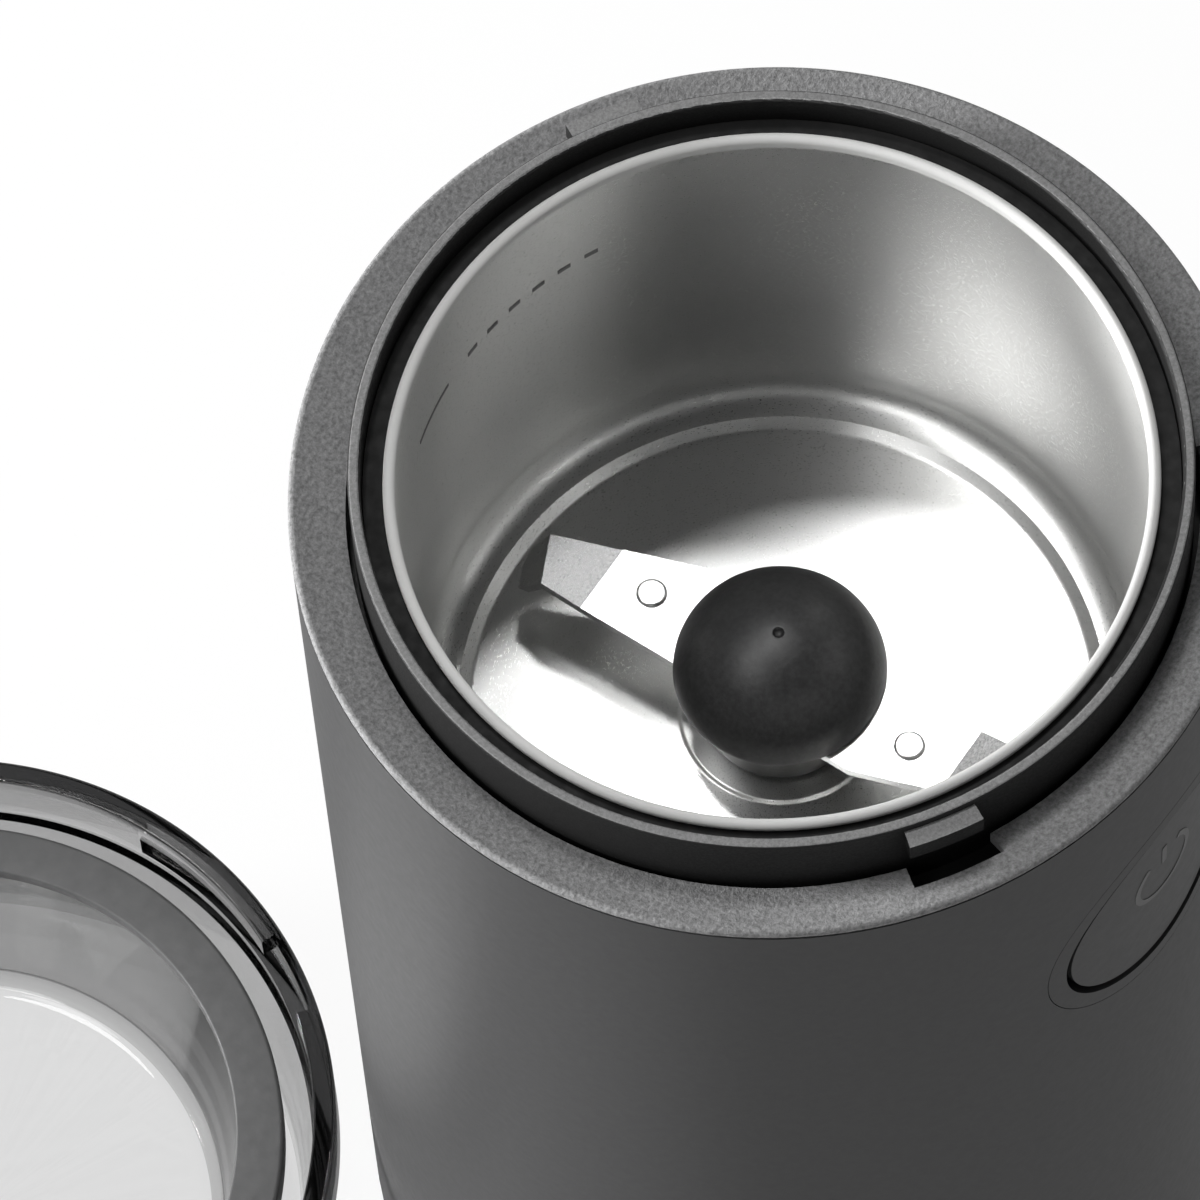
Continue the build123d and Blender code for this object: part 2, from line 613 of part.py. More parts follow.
def base_cover():
    edge = disc(BODY_R - BASE_STEP, BASE_Z, HOUSING_Z)
    edge = round_edges(edge, BODY_R - BASE_STEP, BASE_Z, BASE_EDGE / 2)
    cover = edge + disc(HOUSING_IN_R - SLIP, BASE_Z, BASE_TOP_Z) + board_slot()
    rim_r = HOUSING_IN_R - SLIP
    cover += tube(rim_r - BASE_RIM_WALL, rim_r, BASE_TOP_Z, BASE_TOP_Z + BASE_RIM_HEIGHT)
    vent_middle = VENT_IN_R + VENT_LENGTH / 2
    vent = Pos(vent_middle, 0, BASE_Z) * extrude(SlotOverall(VENT_LENGTH, 2 * VENT_HALF), BASE_PLATE)
    cover -= around(vent, VENT_COUNT)
    cover -= on_circle(disc(FOOT_R + SLIP, BASE_Z, BASE_Z + FOOT_RECESS), FOOT_CIRCLE_R, FOOT_AZIMUTHS)
    cover -= on_circle(disc(SCREW_R + SLIP, BASE_Z, BASE_TOP_Z), LEG_CIRCLE_R, BOSS_AZIMUTHS)
    head_room = disc(SCREW_HEAD_R + SLIP, BASE_Z, BASE_Z + SCREW_HEAD)
    return cover - on_circle(head_room, LEG_CIRCLE_R, BOSS_AZIMUTHS)


def base_screws():
    return joined(on_circle(screw(BASE_Z + SCREW_HEAD, SCREW_LENGTH), LEG_CIRCLE_R, BOSS_AZIMUTHS))


def rubber_feet():
    foot = round_edges(disc(FOOT_R, 0, BASE_Z + FOOT_RECESS), FOOT_R, 0, FOOT_HEIGHT / 4)
    return joined(on_circle(foot, FOOT_CIRCLE_R, FOOT_AZIMUTHS))


# Motor
def bracket_plate(plate_z):
    """Round motor bracket with four air windows and holes for the two motor screws."""
    plate = disc(BRACKET_R, plate_z, plate_z + BRACKET_PLATE)
    plate = plate & Pos(0, 0, plate_z) * Box(2 * STATOR_FLAT, 2 * BRACKET_R, 2 * BRACKET_PLATE)
    top_z = plate_z + BRACKET_PLATE
    for azimuth in (45, 135, 225, 315):
        plate -= sector(
            BRACKET_WINDOW_IN_R, BRACKET_WINDOW_OUT_R, plate_z, top_z, azimuth, BRACKET_WINDOW_SPAN
        )
    return plate


def screw_columns(low_z, high_z):
    """The two pillars that the motor screws pass through."""
    return on_circle(disc(COLUMN_R, low_z, high_z), COLUMN_CIRCLE_R, (90, 270))


def screw_bores(low_z, high_z):
    return on_circle(disc(MOTOR_SCREW_R + SLIP, low_z, high_z), COLUMN_CIRCLE_R, (90, 270))


def upper_motor_bracket():
    pocket_top = UPPER_BRACKET_Z + BEARING_HEIGHT + POCKET_WALL
    bracket = bracket_plate(UPPER_BRACKET_Z) + screw_columns(STACK_TOP_Z, UPPER_BRACKET_Z)
    bracket += disc(BEARING_R + POCKET_WALL, UPPER_BRACKET_Z, pocket_top)
    bracket -= disc(BEARING_R, UPPER_BRACKET_Z, UPPER_BRACKET_Z + BEARING_HEIGHT)
    bracket -= disc(SHAFT_R + 1, UPPER_BRACKET_Z, pocket_top)
    bracket -= screw_bores(STACK_TOP_Z, UPPER_BRACKET_Z + BRACKET_PLATE)
    cushion_hole = disc(SCREW_R + SLIP, UPPER_BRACKET_Z, UPPER_BRACKET_Z + BRACKET_PLATE)
    return bracket - on_circle(cushion_hole, CUSHION_CIRCLE_R, BOSS_AZIMUTHS)


def lower_motor_bracket():
    bracket = bracket_plate(LOWER_BRACKET_Z) + screw_columns(LOWER_BRACKET_TOP_Z, STACK_Z)
    bracket += disc(BEARING_R + POCKET_WALL, LOWER_POCKET_Z, LOWER_BRACKET_TOP_Z)
    bracket -= disc(BEARING_R, LOWER_BRACKET_TOP_Z - BEARING_HEIGHT, LOWER_BRACKET_TOP_Z)
    return bracket - screw_bores(LOWER_BRACKET_Z, STACK_Z)


def upper_bearing():
    return tube(SHAFT_R + RUN, BEARING_R - RUN, UPPER_BRACKET_Z, UPPER_BRACKET_Z + BEARING_HEIGHT)


def lower_bearing():
    top_z = LOWER_BRACKET_TOP_Z
    return tube(SHAFT_R + RUN, BEARING_R - RUN, top_z - BEARING_HEIGHT, top_z)


def motor_cushions():
    cushion = tube(SCREW_R + SLIP, CUSHION_R, UPPER_BRACKET_Z + BRACKET_PLATE, CARRIER_Z)
    return joined(on_circle(cushion, CUSHION_CIRCLE_R, BOSS_AZIMUTHS))


def cushion_screws():
    length = BRACKET_PLATE + CUSHION_HEIGHT + CARRIER_PLATE - SLIP
    return joined(on_circle(screw(UPPER_BRACKET_Z, length), CUSHION_CIRCLE_R, BOSS_AZIMUTHS))


def motor_screws():
    """Two long screws that clamp both brackets on the stator, each with a nut on top."""
    top_z = UPPER_BRACKET_Z + BRACKET_PLATE
    shank = disc(MOTOR_SCREW_R, LOWER_BRACKET_Z, top_z)
    head = disc(SCREW_HEAD_R, LOWER_BRACKET_Z - SCREW_HEAD, LOWER_BRACKET_Z)
    nut = Pos(0, 0, top_z) * extrude(RegularPolygon(SCREW_HEAD_R, 6), SCREW_HEAD)
    return joined(on_circle(shank + head + nut, COLUMN_CIRCLE_R, (90, 270)))


def stator_core():
    core = tube(STATOR_BORE_R, STATOR_R, STACK_Z, STACK_TOP_Z)
    core = core & Pos(0, 0, (STACK_Z + STACK_TOP_Z) / 2) * Box(2 * STATOR_FLAT, 2 * STATOR_R, STACK_HEIGHT)
    side_span = (COIL_SPAN - POLE_SPAN) / 2
    side_middle = (COIL_SPAN + POLE_SPAN) / 4
    for pole in (0, 180):
        for side in (-side_middle, side_middle):
            core -= sector(
                COIL_IN_R - GAP, COIL_OUT_R + GAP, STACK_Z, STACK_TOP_Z, pole + side, side_span + 2
            )
    return core - screw_bores(STACK_Z, STACK_TOP_Z)


def field_coils():
    """Two wound frames, each round one pole of the stator."""
    low_z = STACK_Z - COIL_OVERHANG
    high_z = STACK_TOP_Z + COIL_OVERHANG
    coils = []
    for pole in (0, 180):
        frame = sector(COIL_IN_R, COIL_OUT_R, low_z, high_z, pole, COIL_SPAN)
        window = sector(0, BODY_R, STACK_Z - GAP, STACK_TOP_Z + GAP, pole, POLE_SPAN + 1)
        coils.append(frame - window)
    return joined(coils)


def armature_core():
    core = tube(ROTOR_SHAFT_R + RUN, ROTOR_R, STACK_Z, STACK_TOP_Z)
    slot = Pos(SLOT_CIRCLE_R, 0, 0) * disc(SLOT_R, STACK_Z, STACK_TOP_Z)
    half = SLOT_OPENING_HALF
    opening = block((SLOT_CIRCLE_R, -half, STACK_Z), (ROTOR_R + 1, half, STACK_TOP_Z))
    return core - around(slot + opening, SLOT_COUNT)


def armature_windings():
    """Copper bars in the slots, with the wound heads at both ends of the core."""
    bar = Pos(SLOT_CIRCLE_R, 0, 0) * disc(SLOT_R - SLIP, STACK_Z - 1, STACK_TOP_Z + 1)
    low_head = tube(WINDING_IN_R, WINDING_OUT_R, STACK_Z - WINDING_OVERHANG, STACK_Z)
    low_head = round_edges(low_head, WINDING_OUT_R, STACK_Z - WINDING_OVERHANG, WINDING_OVERHANG / 2)
    high_head = tube(WINDING_IN_R, WINDING_OUT_R, STACK_TOP_Z, STACK_TOP_Z + WINDING_OVERHANG)
    high_head = round_edges(high_head, WINDING_OUT_R, STACK_TOP_Z + WINDING_OVERHANG, WINDING_OVERHANG / 2)
    return low_head + high_head + around(bar, SLOT_COUNT)


def commutator():
    high_z = COMMUTATOR_Z + COMMUTATOR_HEIGHT
    cylinder = tube(ROTOR_SHAFT_R + RUN, COMMUTATOR_R, COMMUTATOR_Z, high_z)
    half = BAR_GROOVE / 2
    groove = block((COMMUTATOR_R - 1, -half, COMMUTATOR_Z), (COMMUTATOR_R + 1, half, high_z))
    return cylinder - around(groove, COMMUTATOR_BARS)


def carbon_brushes():
    low = (COMMUTATOR_R + 2 * RUN, -BRUSH_WIDTH / 2, BRUSH_Z - BRUSH_HEIGHT / 2)
    high = (COMMUTATOR_R + BRUSH_LENGTH, BRUSH_WIDTH / 2, BRUSH_Z + BRUSH_HEIGHT / 2)
    return joined(around(block(low, high), 2))


def brush_holders():
    """Two box-shaped guides standing on the lower bracket."""
    half_y = BRUSH_WIDTH / 2 + SLIP
    half_z = BRUSH_HEIGHT / 2 + SLIP
    wall = HOLDER_WALL
    shell_low = (HOLDER_IN_R, -half_y - wall, BRUSH_Z - half_z - wall)
    shell_high = (HOLDER_OUT_R, half_y + wall, BRUSH_Z + half_z + wall)
    hollow_low = (HOLDER_IN_R - 1, -half_y, BRUSH_Z - half_z)
    hollow_high = (HOLDER_OUT_R - wall, half_y, BRUSH_Z + half_z)
    stand_low = (BRACKET_WINDOW_OUT_R - 2, -half_y - wall, LOWER_BRACKET_TOP_Z)
    stand_high = (STATOR_FLAT - wall, half_y + wall, BRUSH_Z - half_z - wall)
    holder = block(shell_low, shell_high) - block(hollow_low, hollow_high) + block(stand_low, stand_high)
    return joined(around(holder, 2))


def brush_springs():
    spring = coil_spring(BRUSH_SPRING_R, BRUSH_WIRE_R, BRUSH_SPRING, BRUSH_SPRING_TURNS)
    placed = Pos(COMMUTATOR_R + BRUSH_LENGTH, 0, BRUSH_Z) * Rot(0, 90, 0) * spring
    return joined(around(placed, 2))


def cooling_fan():
    hub = tube(ROTOR_SHAFT_R + RUN, FAN_HUB_R, FAN_Z, FAN_Z + FAN_HEIGHT)
    plate = tube(ROTOR_SHAFT_R + RUN, FAN_R, FAN_Z, FAN_Z + FAN_DISC)
    half = FAN_BLADE / 2
    blade = block((FAN_HUB_R - 1, -half, FAN_Z), (FAN_R - 1, half, FAN_Z + FAN_HEIGHT))
    return hub + plate + around(blade, FAN_BLADES)


def lower_motor_pad():
    return tube(PAD_IN_R, PAD_R, BASE_TOP_Z, LOWER_POCKET_Z)


def drive_shaft():
    low_z = LOWER_POCKET_Z + POCKET_WALL + RUN
    rotor_low = LOWER_BRACKET_TOP_Z + END_PLAY
    rotor_high = UPPER_BRACKET_Z - END_PLAY
    shaft = disc(SHAFT_R, low_z, CAP_Z + SHAFT_IN_CAP)
    return shaft + disc(ROTOR_SHAFT_R, rotor_low, rotor_high)


# Blade
def blade_wing():
    """One wing: a flat root, an outer part bent gently up and a tip folded down along a slanting crease."""
    bend_x, bend_y = CUTTING_EDGE[-1]
    root = polygon(*CUTTING_EDGE, (bend_x, BACK_EDGE), (0, BACK_EDGE))
    outer = polygon((bend_x, bend_y), CREASE_FRONT, CREASE_BACK, (bend_x, BACK_EDGE))
    along = Vector(*CREASE_BACK) - Vector(*CREASE_FRONT)
    direction = along.normalized()
    outward = Vector(direction.Y, -direction.X)
    leaf = [Vector(*CREASE_FRONT) + direction * step + outward * out for step, out in TIP_LEAF]
    tip = polygon(CREASE_FRONT, *leaf, CREASE_BACK)
    crease = Axis((*CREASE_FRONT, BLADE_THICK), (direction.X, direction.Y, 0))
    tip_plate = extrude(tip, BLADE_THICK).rotate(crease, TIP_FOLD)
    bend_line = Axis((bend_x, 0, 0), (0, 1, 0))
    bent = (extrude(outer, BLADE_THICK) + tip_plate).rotate(bend_line, -WING_BEND)
    dimple = Pos(DIMPLE_AT, 0, 0) * disc(DIMPLE_R, BLADE_THICK, BLADE_THICK + DIMPLE_RISE)
    dimple = round_edges(dimple, DIMPLE_R, BLADE_THICK + DIMPLE_RISE, DIMPLE_RISE * 0.8)
    return extrude(root, BLADE_THICK) + bent + dimple


def blade():
    wings = around(blade_wing(), 2)
    bore = disc(SHAFT_R + RUN, 0, BLADE_THICK)
    return Pos(0, 0, BLADE_Z) * Rot(0, 0, BLADE_AZ) * (joined(wings) - bore)


def blade_cap():
    """Domed cap on the blade, with a small dimple in its crown and a blind bore for the shaft."""
    crown = (0, CAP_Z + CAP_HEIGHT)
    dome = EllipticalCenterArc((0, CAP_Z), CAP_R, CAP_HEIGHT, arc_size=90)
    section = make_face([Line((0, CAP_Z), (CAP_R, CAP_Z)), dome, Line(crown, (0, CAP_Z))])
    cap = spun(section) - Pos(0, 0, CAP_Z + CAP_HEIGHT) * Sphere(CAP_DIMPLE_R)
    return cap - disc(SHAFT_R + RUN, CAP_Z, CAP_Z + SHAFT_IN_CAP + SLIP)


def blade_hub():
    low_z = FLOOR_Z + HUB_FLOOR_GAP
    bore_r = SHAFT_R + RUN
    return spun(polygon((bore_r, low_z), (HUB_FOOT_R, low_z), (HUB_TOP_R, BLADE_Z), (bore_r, BLADE_Z)))


# Push button
def within_body(shape, depth):
    """Trims a shape to the body's outer surface, or to a depth below it."""
    return shape & disc(BODY_R - depth, 0, BODY_HEIGHT)


def push_button():
    """Round cap that follows the body's curve, with an arm down to the main switch."""
    cap = Pos(0, 0, BUTTON_Z) * to_front(disc(BUTTON_R, BUTTON_BACK, BODY_R))
    cap = within_body(cap, BUTTON_SUNK)
    skirt = tube(BUTTON_R - BUTTON_SKIRT, BUTTON_R, BUTTON_BACK - BUTTON_SKIRT_DEPTH, BUTTON_BACK)
    arm_low = MAIN_SWITCH_Z - NUB_HALF - 1
    arm = block((-ARM_HALF, -ARM_OUT, arm_low), (ARM_HALF, -ARM_IN, BUTTON_Z - ARM_TOP_DROP))
    nub_middle = MAIN_SWITCH_FACE + tip_height(BUTTON_TRAVEL, NUB_R) + NUB_R
    nub = block((-NUB_R, -ARM_IN, MAIN_SWITCH_Z - NUB_HALF), (NUB_R, -nub_middle, MAIN_SWITCH_Z + NUB_HALF))
    nub += Pos(0, -nub_middle, MAIN_SWITCH_Z) * Cylinder(NUB_R, 2 * NUB_HALF)
    return cap + Pos(0, 0, BUTTON_Z) * to_front(skirt) + arm + nub


def button_bezel():
    """Ring flush with the body, held by a flange behind the wall, with a bar for the spring."""
    inner_r = BUTTON_R + BEZEL_GAP
    ring = Pos(0, 0, BUTTON_Z) * to_front(tube(inner_r, BEZEL_R, BEZEL_REAR, BODY_R))
    ring = within_body(ring, 0)
    flange = Pos(0, 0, BUTTON_Z) * to_front(tube(inner_r, BEZEL_R + BEZEL_FLANGE, BEZEL_REAR, BODY_R))
    behind_wall = tube(
        HOUSING_IN_R - SLIP - BEZEL_FLANGE_THICK, HOUSING_IN_R - SLIP, BUTTON_Z - BODY_R, BUTTON_Z + BODY_R
    )
    bar_y = BEZEL_REAR + BAR_THICK
    bar = block(
        (-inner_r - SLIP, -bar_y, BUTTON_Z - BAR_HALF), (inner_r + SLIP, -BEZEL_REAR, BUTTON_Z + BAR_HALF)
    )
    arm_room = ARM_HALF + 2 * GAP
    arm_notch = block(
        (-arm_room, -ARM_OUT - GAP, BUTTON_Z - 2 * BEZEL_R), (arm_room, -BEZEL_REAR + 1, BUTTON_Z - inner_r / 2)
    )
    return ring + (flange & behind_wall) + bar - arm_notch


def button_spring():
    length = BUTTON_BACK - BEZEL_REAR - BAR_THICK
    spring = coil_spring(BUTTON_SPRING_R, BUTTON_WIRE_R, length, BUTTON_SPRING_TURNS)
    return Pos(0, -BEZEL_REAR - BAR_THICK, BUTTON_Z) * to_front(spring)


# Micro switches, made with the face at z = 0 and the lever above it
def lever_angle(travel):
    """Degrees by which the lever stands up at rest, so that the travel presses it almost flat."""
    return math.degrees(travel / LEVER_ARM) + LEVER_SPARE


def tip_height(travel, tip_r):
    """Height above the switch's face of a round tip that just clears the resting lever."""
    angle = math.radians(lever_angle(travel))
    to_middle = (tip_r + LEVER_THICK / 2 + GAP) / math.cos(angle)
    return LEVER_RISE + LEVER_ARM * math.tan(angle) + to_middle - tip_r


def switch_lever(travel):
    angle = lever_angle(travel)
    plate = block(
        (0, -LEVER_HALF, -LEVER_THICK / 2), (LEVER_PIVOT + LEVER_END, LEVER_HALF, LEVER_THICK / 2)
    )
    pin = Rot(90, 0, 0) * Cylinder(PIVOT_R, SWITCH_THICK)
    return Pos(-LEVER_PIVOT, 0, LEVER_RISE) * (Rot(0, -angle, 0) * plate + pin)


def plunger_top(travel):
    """Height of the plunger's end, just under the resting lever."""
    angle = math.radians(lever_angle(travel))
    distance = LEVER_PIVOT - PLUNGER_AT
    return LEVER_RISE + distance * math.tan(angle) - LEVER_THICK / 2 / math.cos(angle) - 2 * SLIP


def switch_plunger(travel):
    top = plunger_top(travel)
    rod = disc(PLUNGER_R, top - PLUNGER_LENGTH, top)
    rounded = round_edges(rod, PLUNGER_R, top, PLUNGER_R / 2)
    return Pos(-PLUNGER_AT, 0, 0) * rounded


def plunger_travel(travel):
    return (LEVER_PIVOT - PLUNGER_AT) * travel / LEVER_ARM


def switch_body(travel):
    """Case with two ears for the lever's pin, a bore for the plunger and three terminals."""
    half_w = SWITCH_WIDTH / 2
    half_t = SWITCH_THICK / 2
    body = block((-half_w, -half_t, -SWITCH_HEIGHT), (half_w, half_t, 0))
    bore_low = plunger_top(travel) - PLUNGER_LENGTH - plunger_travel(travel) - GAP
    body -= Pos(-PLUNGER_AT, 0, 0) * disc(PLUNGER_R + SLIP, bore_low, 1)
    ear = Pos(-LEVER_PIVOT, 0, LEVER_RISE) * Rot(90, 0, 0) * Cylinder(EAR_R, EAR_THICK)
    foot = block((-LEVER_PIVOT - EAR_R, -EAR_THICK / 2, 0), (-LEVER_PIVOT + EAR_R, EAR_THICK / 2, LEVER_RISE))
    hole = Pos(-LEVER_PIVOT, 0, LEVER_RISE) * Rot(90, 0, 0) * Cylinder(PIVOT_R + RUN, 2 * SWITCH_THICK)
    shift = half_t - EAR_THICK / 2
    body += [Pos(0, side * shift, 0) * (ear + foot) for side in (-1, 1)]
    body -= hole
    terminal = block(
        (-TERMINAL_THICK / 2, -TERMINAL_HALF, -SWITCH_HEIGHT - TERMINAL_LENGTH),
        (TERMINAL_THICK / 2, TERMINAL_HALF, -SWITCH_HEIGHT),
    )
    return body + [Pos(step * TERMINAL_STEP, 0, 0) * terminal for step in (-1, 0, 1)]


def main_switch(shape):
    """Puts a switch piece behind the button's arm, with its lever facing the front."""
    return Pos(-LEVER_PRESS_AT, -MAIN_SWITCH_FACE, MAIN_SWITCH_Z) * to_front(shape)


def main_switch_bracket():
    """Frame under the carrier that holds the main switch."""
    half_w = SWITCH_WIDTH / 2 + SLIP
    half_t = SWITCH_THICK / 2 + SLIP
    front = MAIN_SWITCH_FACE + SLIP
    rear = MAIN_SWITCH_FACE - SWITCH_HEIGHT - SLIP
    low_z = MAIN_SWITCH_Z - half_t - CHEEK
    frame = block((-half_w - CHEEK, -front, low_z), (half_w + CHEEK, -rear + CHEEK, CARRIER_Z))
    room = block((-half_w, -front - 1, low_z + CHEEK), (half_w, -rear, CARRIER_Z))
    outlet = block((-half_w + CHEEK, -rear - 1, low_z + CHEEK), (half_w - CHEEK, -rear + 2 * CHEEK, CARRIER_Z))
    return Pos(-LEVER_PRESS_AT, 0, 0) * (frame - room - outlet)


def interlock_face_z():
    return PIN_TIP_Z - tip_height(INTERLOCK_TRAVEL, PIN_R)


def interlock_switch(shape):
    """Puts a switch piece under the interlock pin, with its lever facing up."""
    return to_interlock(Pos(-LEVER_PRESS_AT, INTERLOCK_SWITCH_R, interlock_face_z()) * shape)


def interlock_bracket():
    """Frame under the collar's plate: a spring seat across its middle and the switch at its foot."""
    half_w = SWITCH_WIDTH / 2 + SLIP
    low_z = interlock_face_z() - SWITCH_HEIGHT - CHEEK
    near = INTERLOCK_SWITCH_R - CHEEK_DEPTH
    far = INTERLOCK_SWITCH_R + CHEEK_DEPTH
    frame = block((-half_w - CHEEK, near, low_z), (half_w + CHEEK, far, PLATE_Z))
    switch_room = block((-half_w, near - 1, low_z + CHEEK), (half_w, far + 1, SEAT_TOP_Z - SEAT_PLATE))
    pin_room = block((-half_w, near - 1, SEAT_TOP_Z), (half_w, far + 1, PLATE_Z))
    outlet = block((-half_w + CHEEK, near - 1, low_z), (half_w - CHEEK, far + 1, low_z + CHEEK))
    frame = Pos(-LEVER_PRESS_AT, 0, 0) * (frame - switch_room - pin_room - outlet)
    pin_hole = Pos(0, PIN_AT_R, 0) * disc(PIN_R + 4 * RUN, low_z, PLATE_Z)
    return to_interlock(frame - pin_hole)


def interlock_pin():
    pin = disc(PIN_R, PIN_TIP_Z, PIN_TOP_Z)
    pin = round_edges(pin, PIN_R, PIN_TOP_Z, PIN_R * 0.8)
    pin = round_edges(pin, PIN_R, PIN_TIP_Z, PIN_R * 0.8)
    pin += disc(SHOULDER_R, SHOULDER_TOP_Z - SHOULDER, SHOULDER_TOP_Z)
    return to_interlock(Pos(0, PIN_AT_R, 0) * pin)


def interlock_spring():
    spring = coil_spring(INTERLOCK_SPRING_R, INTERLOCK_WIRE_R, INTERLOCK_SPRING, INTERLOCK_TURNS)
    return to_interlock(Pos(0, PIN_AT_R, SEAT_TOP_Z) * spring)


# Circuit board and cord gland
def on_board(depth, width, height, low_z):
    """A component standing on the inner side of the circuit board."""
    face_x = BOARD_X + BOARD_THICK
    return block((face_x, -width / 2, low_z), (face_x + depth, width / 2, low_z + height))


def circuit_board():
    half = BOARD_WIDTH / 2
    return block((BOARD_X, -half, BASE_TOP_Z), (BOARD_X + BOARD_THICK, half, BOARD_TOP_Z))


def suppression_capacitor():
    return on_board(CAPACITOR_DEPTH, CAPACITOR_WIDTH, CAPACITOR_HEIGHT, CAPACITOR_Z)


def rectifier():
    return on_board(RECTIFIER_DEPTH, RECTIFIER_WIDTH, RECTIFIER_HEIGHT, RECTIFIER_Z)


def cord_gland():
    inner = BODY_R - GLAND_LENGTH + GLAND_FLANGE
    flange = disc(GLAND_FLANGE_R, BODY_R - 1, BODY_R + GLAND_FLANGE)
    flange = round_edges(flange, GLAND_FLANGE_R, BODY_R + GLAND_FLANGE, GLAND_FLANGE / 2)
    sleeve = disc(GLAND_R, inner, BODY_R)
    hollow = disc(GLAND_BORE_R, inner, BODY_R + GLAND_FLANGE)
    gland = Pos(0, 0, GLAND_Z) * to_back(flange + sleeve - hollow)
    wall = tube(HOUSING_IN_R, BODY_R, GLAND_Z - BODY_R, GLAND_Z + BODY_R)
    hole = Pos(0, 0, GLAND_Z) * to_back(disc(GLAND_R, 0, 2 * BODY_R))
    return gland - (wall - hole)


def gland_nut():
    wall_face = HOUSING_IN_R - SLIP
    hexagon = extrude(RegularPolygon(GLAND_NUT_R, 6) - Circle(GLAND_R + SLIP), GLAND_NUT)
    nut = Pos(0, 0, GLAND_Z) * to_back(Pos(0, 0, wall_face - GLAND_NUT) * hexagon)
    return nut & disc(wall_face, 0, BODY_HEIGHT)


# Lid
def lid_shell():
    """Clear shell with an inner skirt and two L-shaped channels in its rim for the collar's lugs."""
    band_r = LID_RIM_R - LID_SHOULDER
    rim_in_r = COLLAR_R + LID_COLLAR_GAP
    under_z = LID_HEIGHT - LID_PLATE
    section = polygon(
        (0, LID_HEIGHT),
        (LID_TOP_R, LID_HEIGHT),
        (band_r, LID_RIM_BAND + LID_SHOULDER),
        (LID_RIM_R, LID_RIM_BAND),
        (LID_RIM_R, 0),
        (rim_in_r, 0),
        (rim_in_r, LID_RIM_BAND),
        (band_r - LID_WALL, LID_RIM_BAND + LID_SHOULDER),
        (LID_TOP_R - LID_WALL, under_z),
        (LID_CAVITY_R + LID_SKIRT_WALL, under_z),
        (LID_SKIRT_R, LID_SKIRT_UP),
        (LID_SKIRT_R - LID_SKIRT_WALL, LID_SKIRT_UP),
        (LID_CAVITY_R, under_z),
        (0, under_z),
    )
    shell = spun(section)
    shell = round_edges(shell, LID_TOP_R, LID_HEIGHT, LID_TOP_ROUND)
    shell = round_edges(shell, LID_CAVITY_R, under_z, LID_CAVITY_ROUND)
    shell = round_edges(shell, LID_RIM_R, 0, LID_EDGE_ROUND)
    entry_middle = -CHANNEL_AZ + LUG_CHANNEL_ENTRY / 2
    lock_middle = -CHANNEL_AZ - LUG_CHANNEL_LOCK / 2
    for turn in (0, 180):
        shell -= sector(
            rim_in_r - 1, LID_CHANNEL_R, -1, LUG_CHANNEL_HIGH, turn + entry_middle, LUG_CHANNEL_ENTRY
        )
        shell -= sector(
            rim_in_r - 1, LID_CHANNEL_R, LUG_CHANNEL_LOW, LUG_CHANNEL_HIGH, turn + lock_middle, LUG_CHANNEL_LOCK + 1
        )
    return lid_down(shell)


def lid_seal():
    """Dark ring on the skirt's end, which closes on the bowl's rim."""
    skirt_r = LID_SKIRT_R + SLIP
    leg_r = skirt_r + SEAL_RING_BAND
    low_z = LID_SKIRT_UP - SEAL_RING_FACE
    section = polygon(
        (SEAL_RING_IN_R, low_z),
        (leg_r, low_z),
        (leg_r, LID_SKIRT_UP + SEAL_RING_LEG),
        (skirt_r, LID_SKIRT_UP + SEAL_RING_LEG),
        (skirt_r, LID_SKIRT_UP),
        (SEAL_RING_IN_R, LID_SKIRT_UP),
    )
    return lid_down(spun(section))


NODES = {
    "body_housing": body_housing,
    "top_ring": top_ring,
    "bowl_collar": bowl_collar,
    "bowl_gasket": bowl_gasket,
    "steel_bowl": steel_bowl,
    "shaft_seal": shaft_seal,
    "bowl_carrier": bowl_carrier,
    "carrier_screws": carrier_screws,
    "base_cover": base_cover,
    "base_screws": base_screws,
    "rubber_feet": rubber_feet,
    "upper_motor_bracket": upper_motor_bracket,
    "lower_motor_bracket": lower_motor_bracket,
    "upper_bearing": upper_bearing,
    "lower_bearing": lower_bearing,
    "motor_cushions": motor_cushions,
    "cushion_screws": cushion_screws,
    "motor_screws": motor_screws,
    "lower_motor_pad": lower_motor_pad,
    "stator_core": stator_core,
    "field_coils": field_coils,
    "brush_holders": brush_holders,
    "carbon_brushes": carbon_brushes,
    "brush_springs": brush_springs,
    "armature_core": armature_core,
    "armature_windings": armature_windings,
    "commutator": commutator,
    "cooling_fan": cooling_fan,
    "drive_shaft": drive_shaft,
    "blade": blade,
    "blade_cap": blade_cap,
    "blade_hub": blade_hub,
    "push_button": push_button,
    "button_bezel": button_bezel,
    "button_spring": button_spring,
    "main_switch_body": lambda: main_switch(switch_body(BUTTON_TRAVEL)),
    "main_switch_lever": lambda: main_switch(switch_lever(BUTTON_TRAVEL)),
    "main_switch_plunger": lambda: main_switch(switch_plunger(BUTTON_TRAVEL)),
    "main_switch_bracket": main_switch_bracket,
    "interlock_pin": interlock_pin,
    "interlock_spring": interlock_spring,
    "interlock_bracket": interlock_bracket,
    "interlock_switch_body": lambda: interlock_switch(switch_body(INTERLOCK_TRAVEL)),
    "interlock_switch_lever": lambda: interlock_switch(switch_lever(INTERLOCK_TRAVEL)),
    "interlock_switch_plunger": lambda: interlock_switch(switch_plunger(INTERLOCK_TRAVEL)),
    "circuit_board": circuit_board,
    "suppression_capacitor": suppression_capacitor,
    "rectifier": rectifier,
    "cord_gland": cord_gland,
    "gland_nut": gland_nut,
    "lid_shell": lid_shell,
    "lid_seal": lid_seal,
}


def main():
    os.makedirs("parts", exist_ok=True)
    for name, make in NODES.items():
        export_step(make(), f"parts/{name}.step")


main()
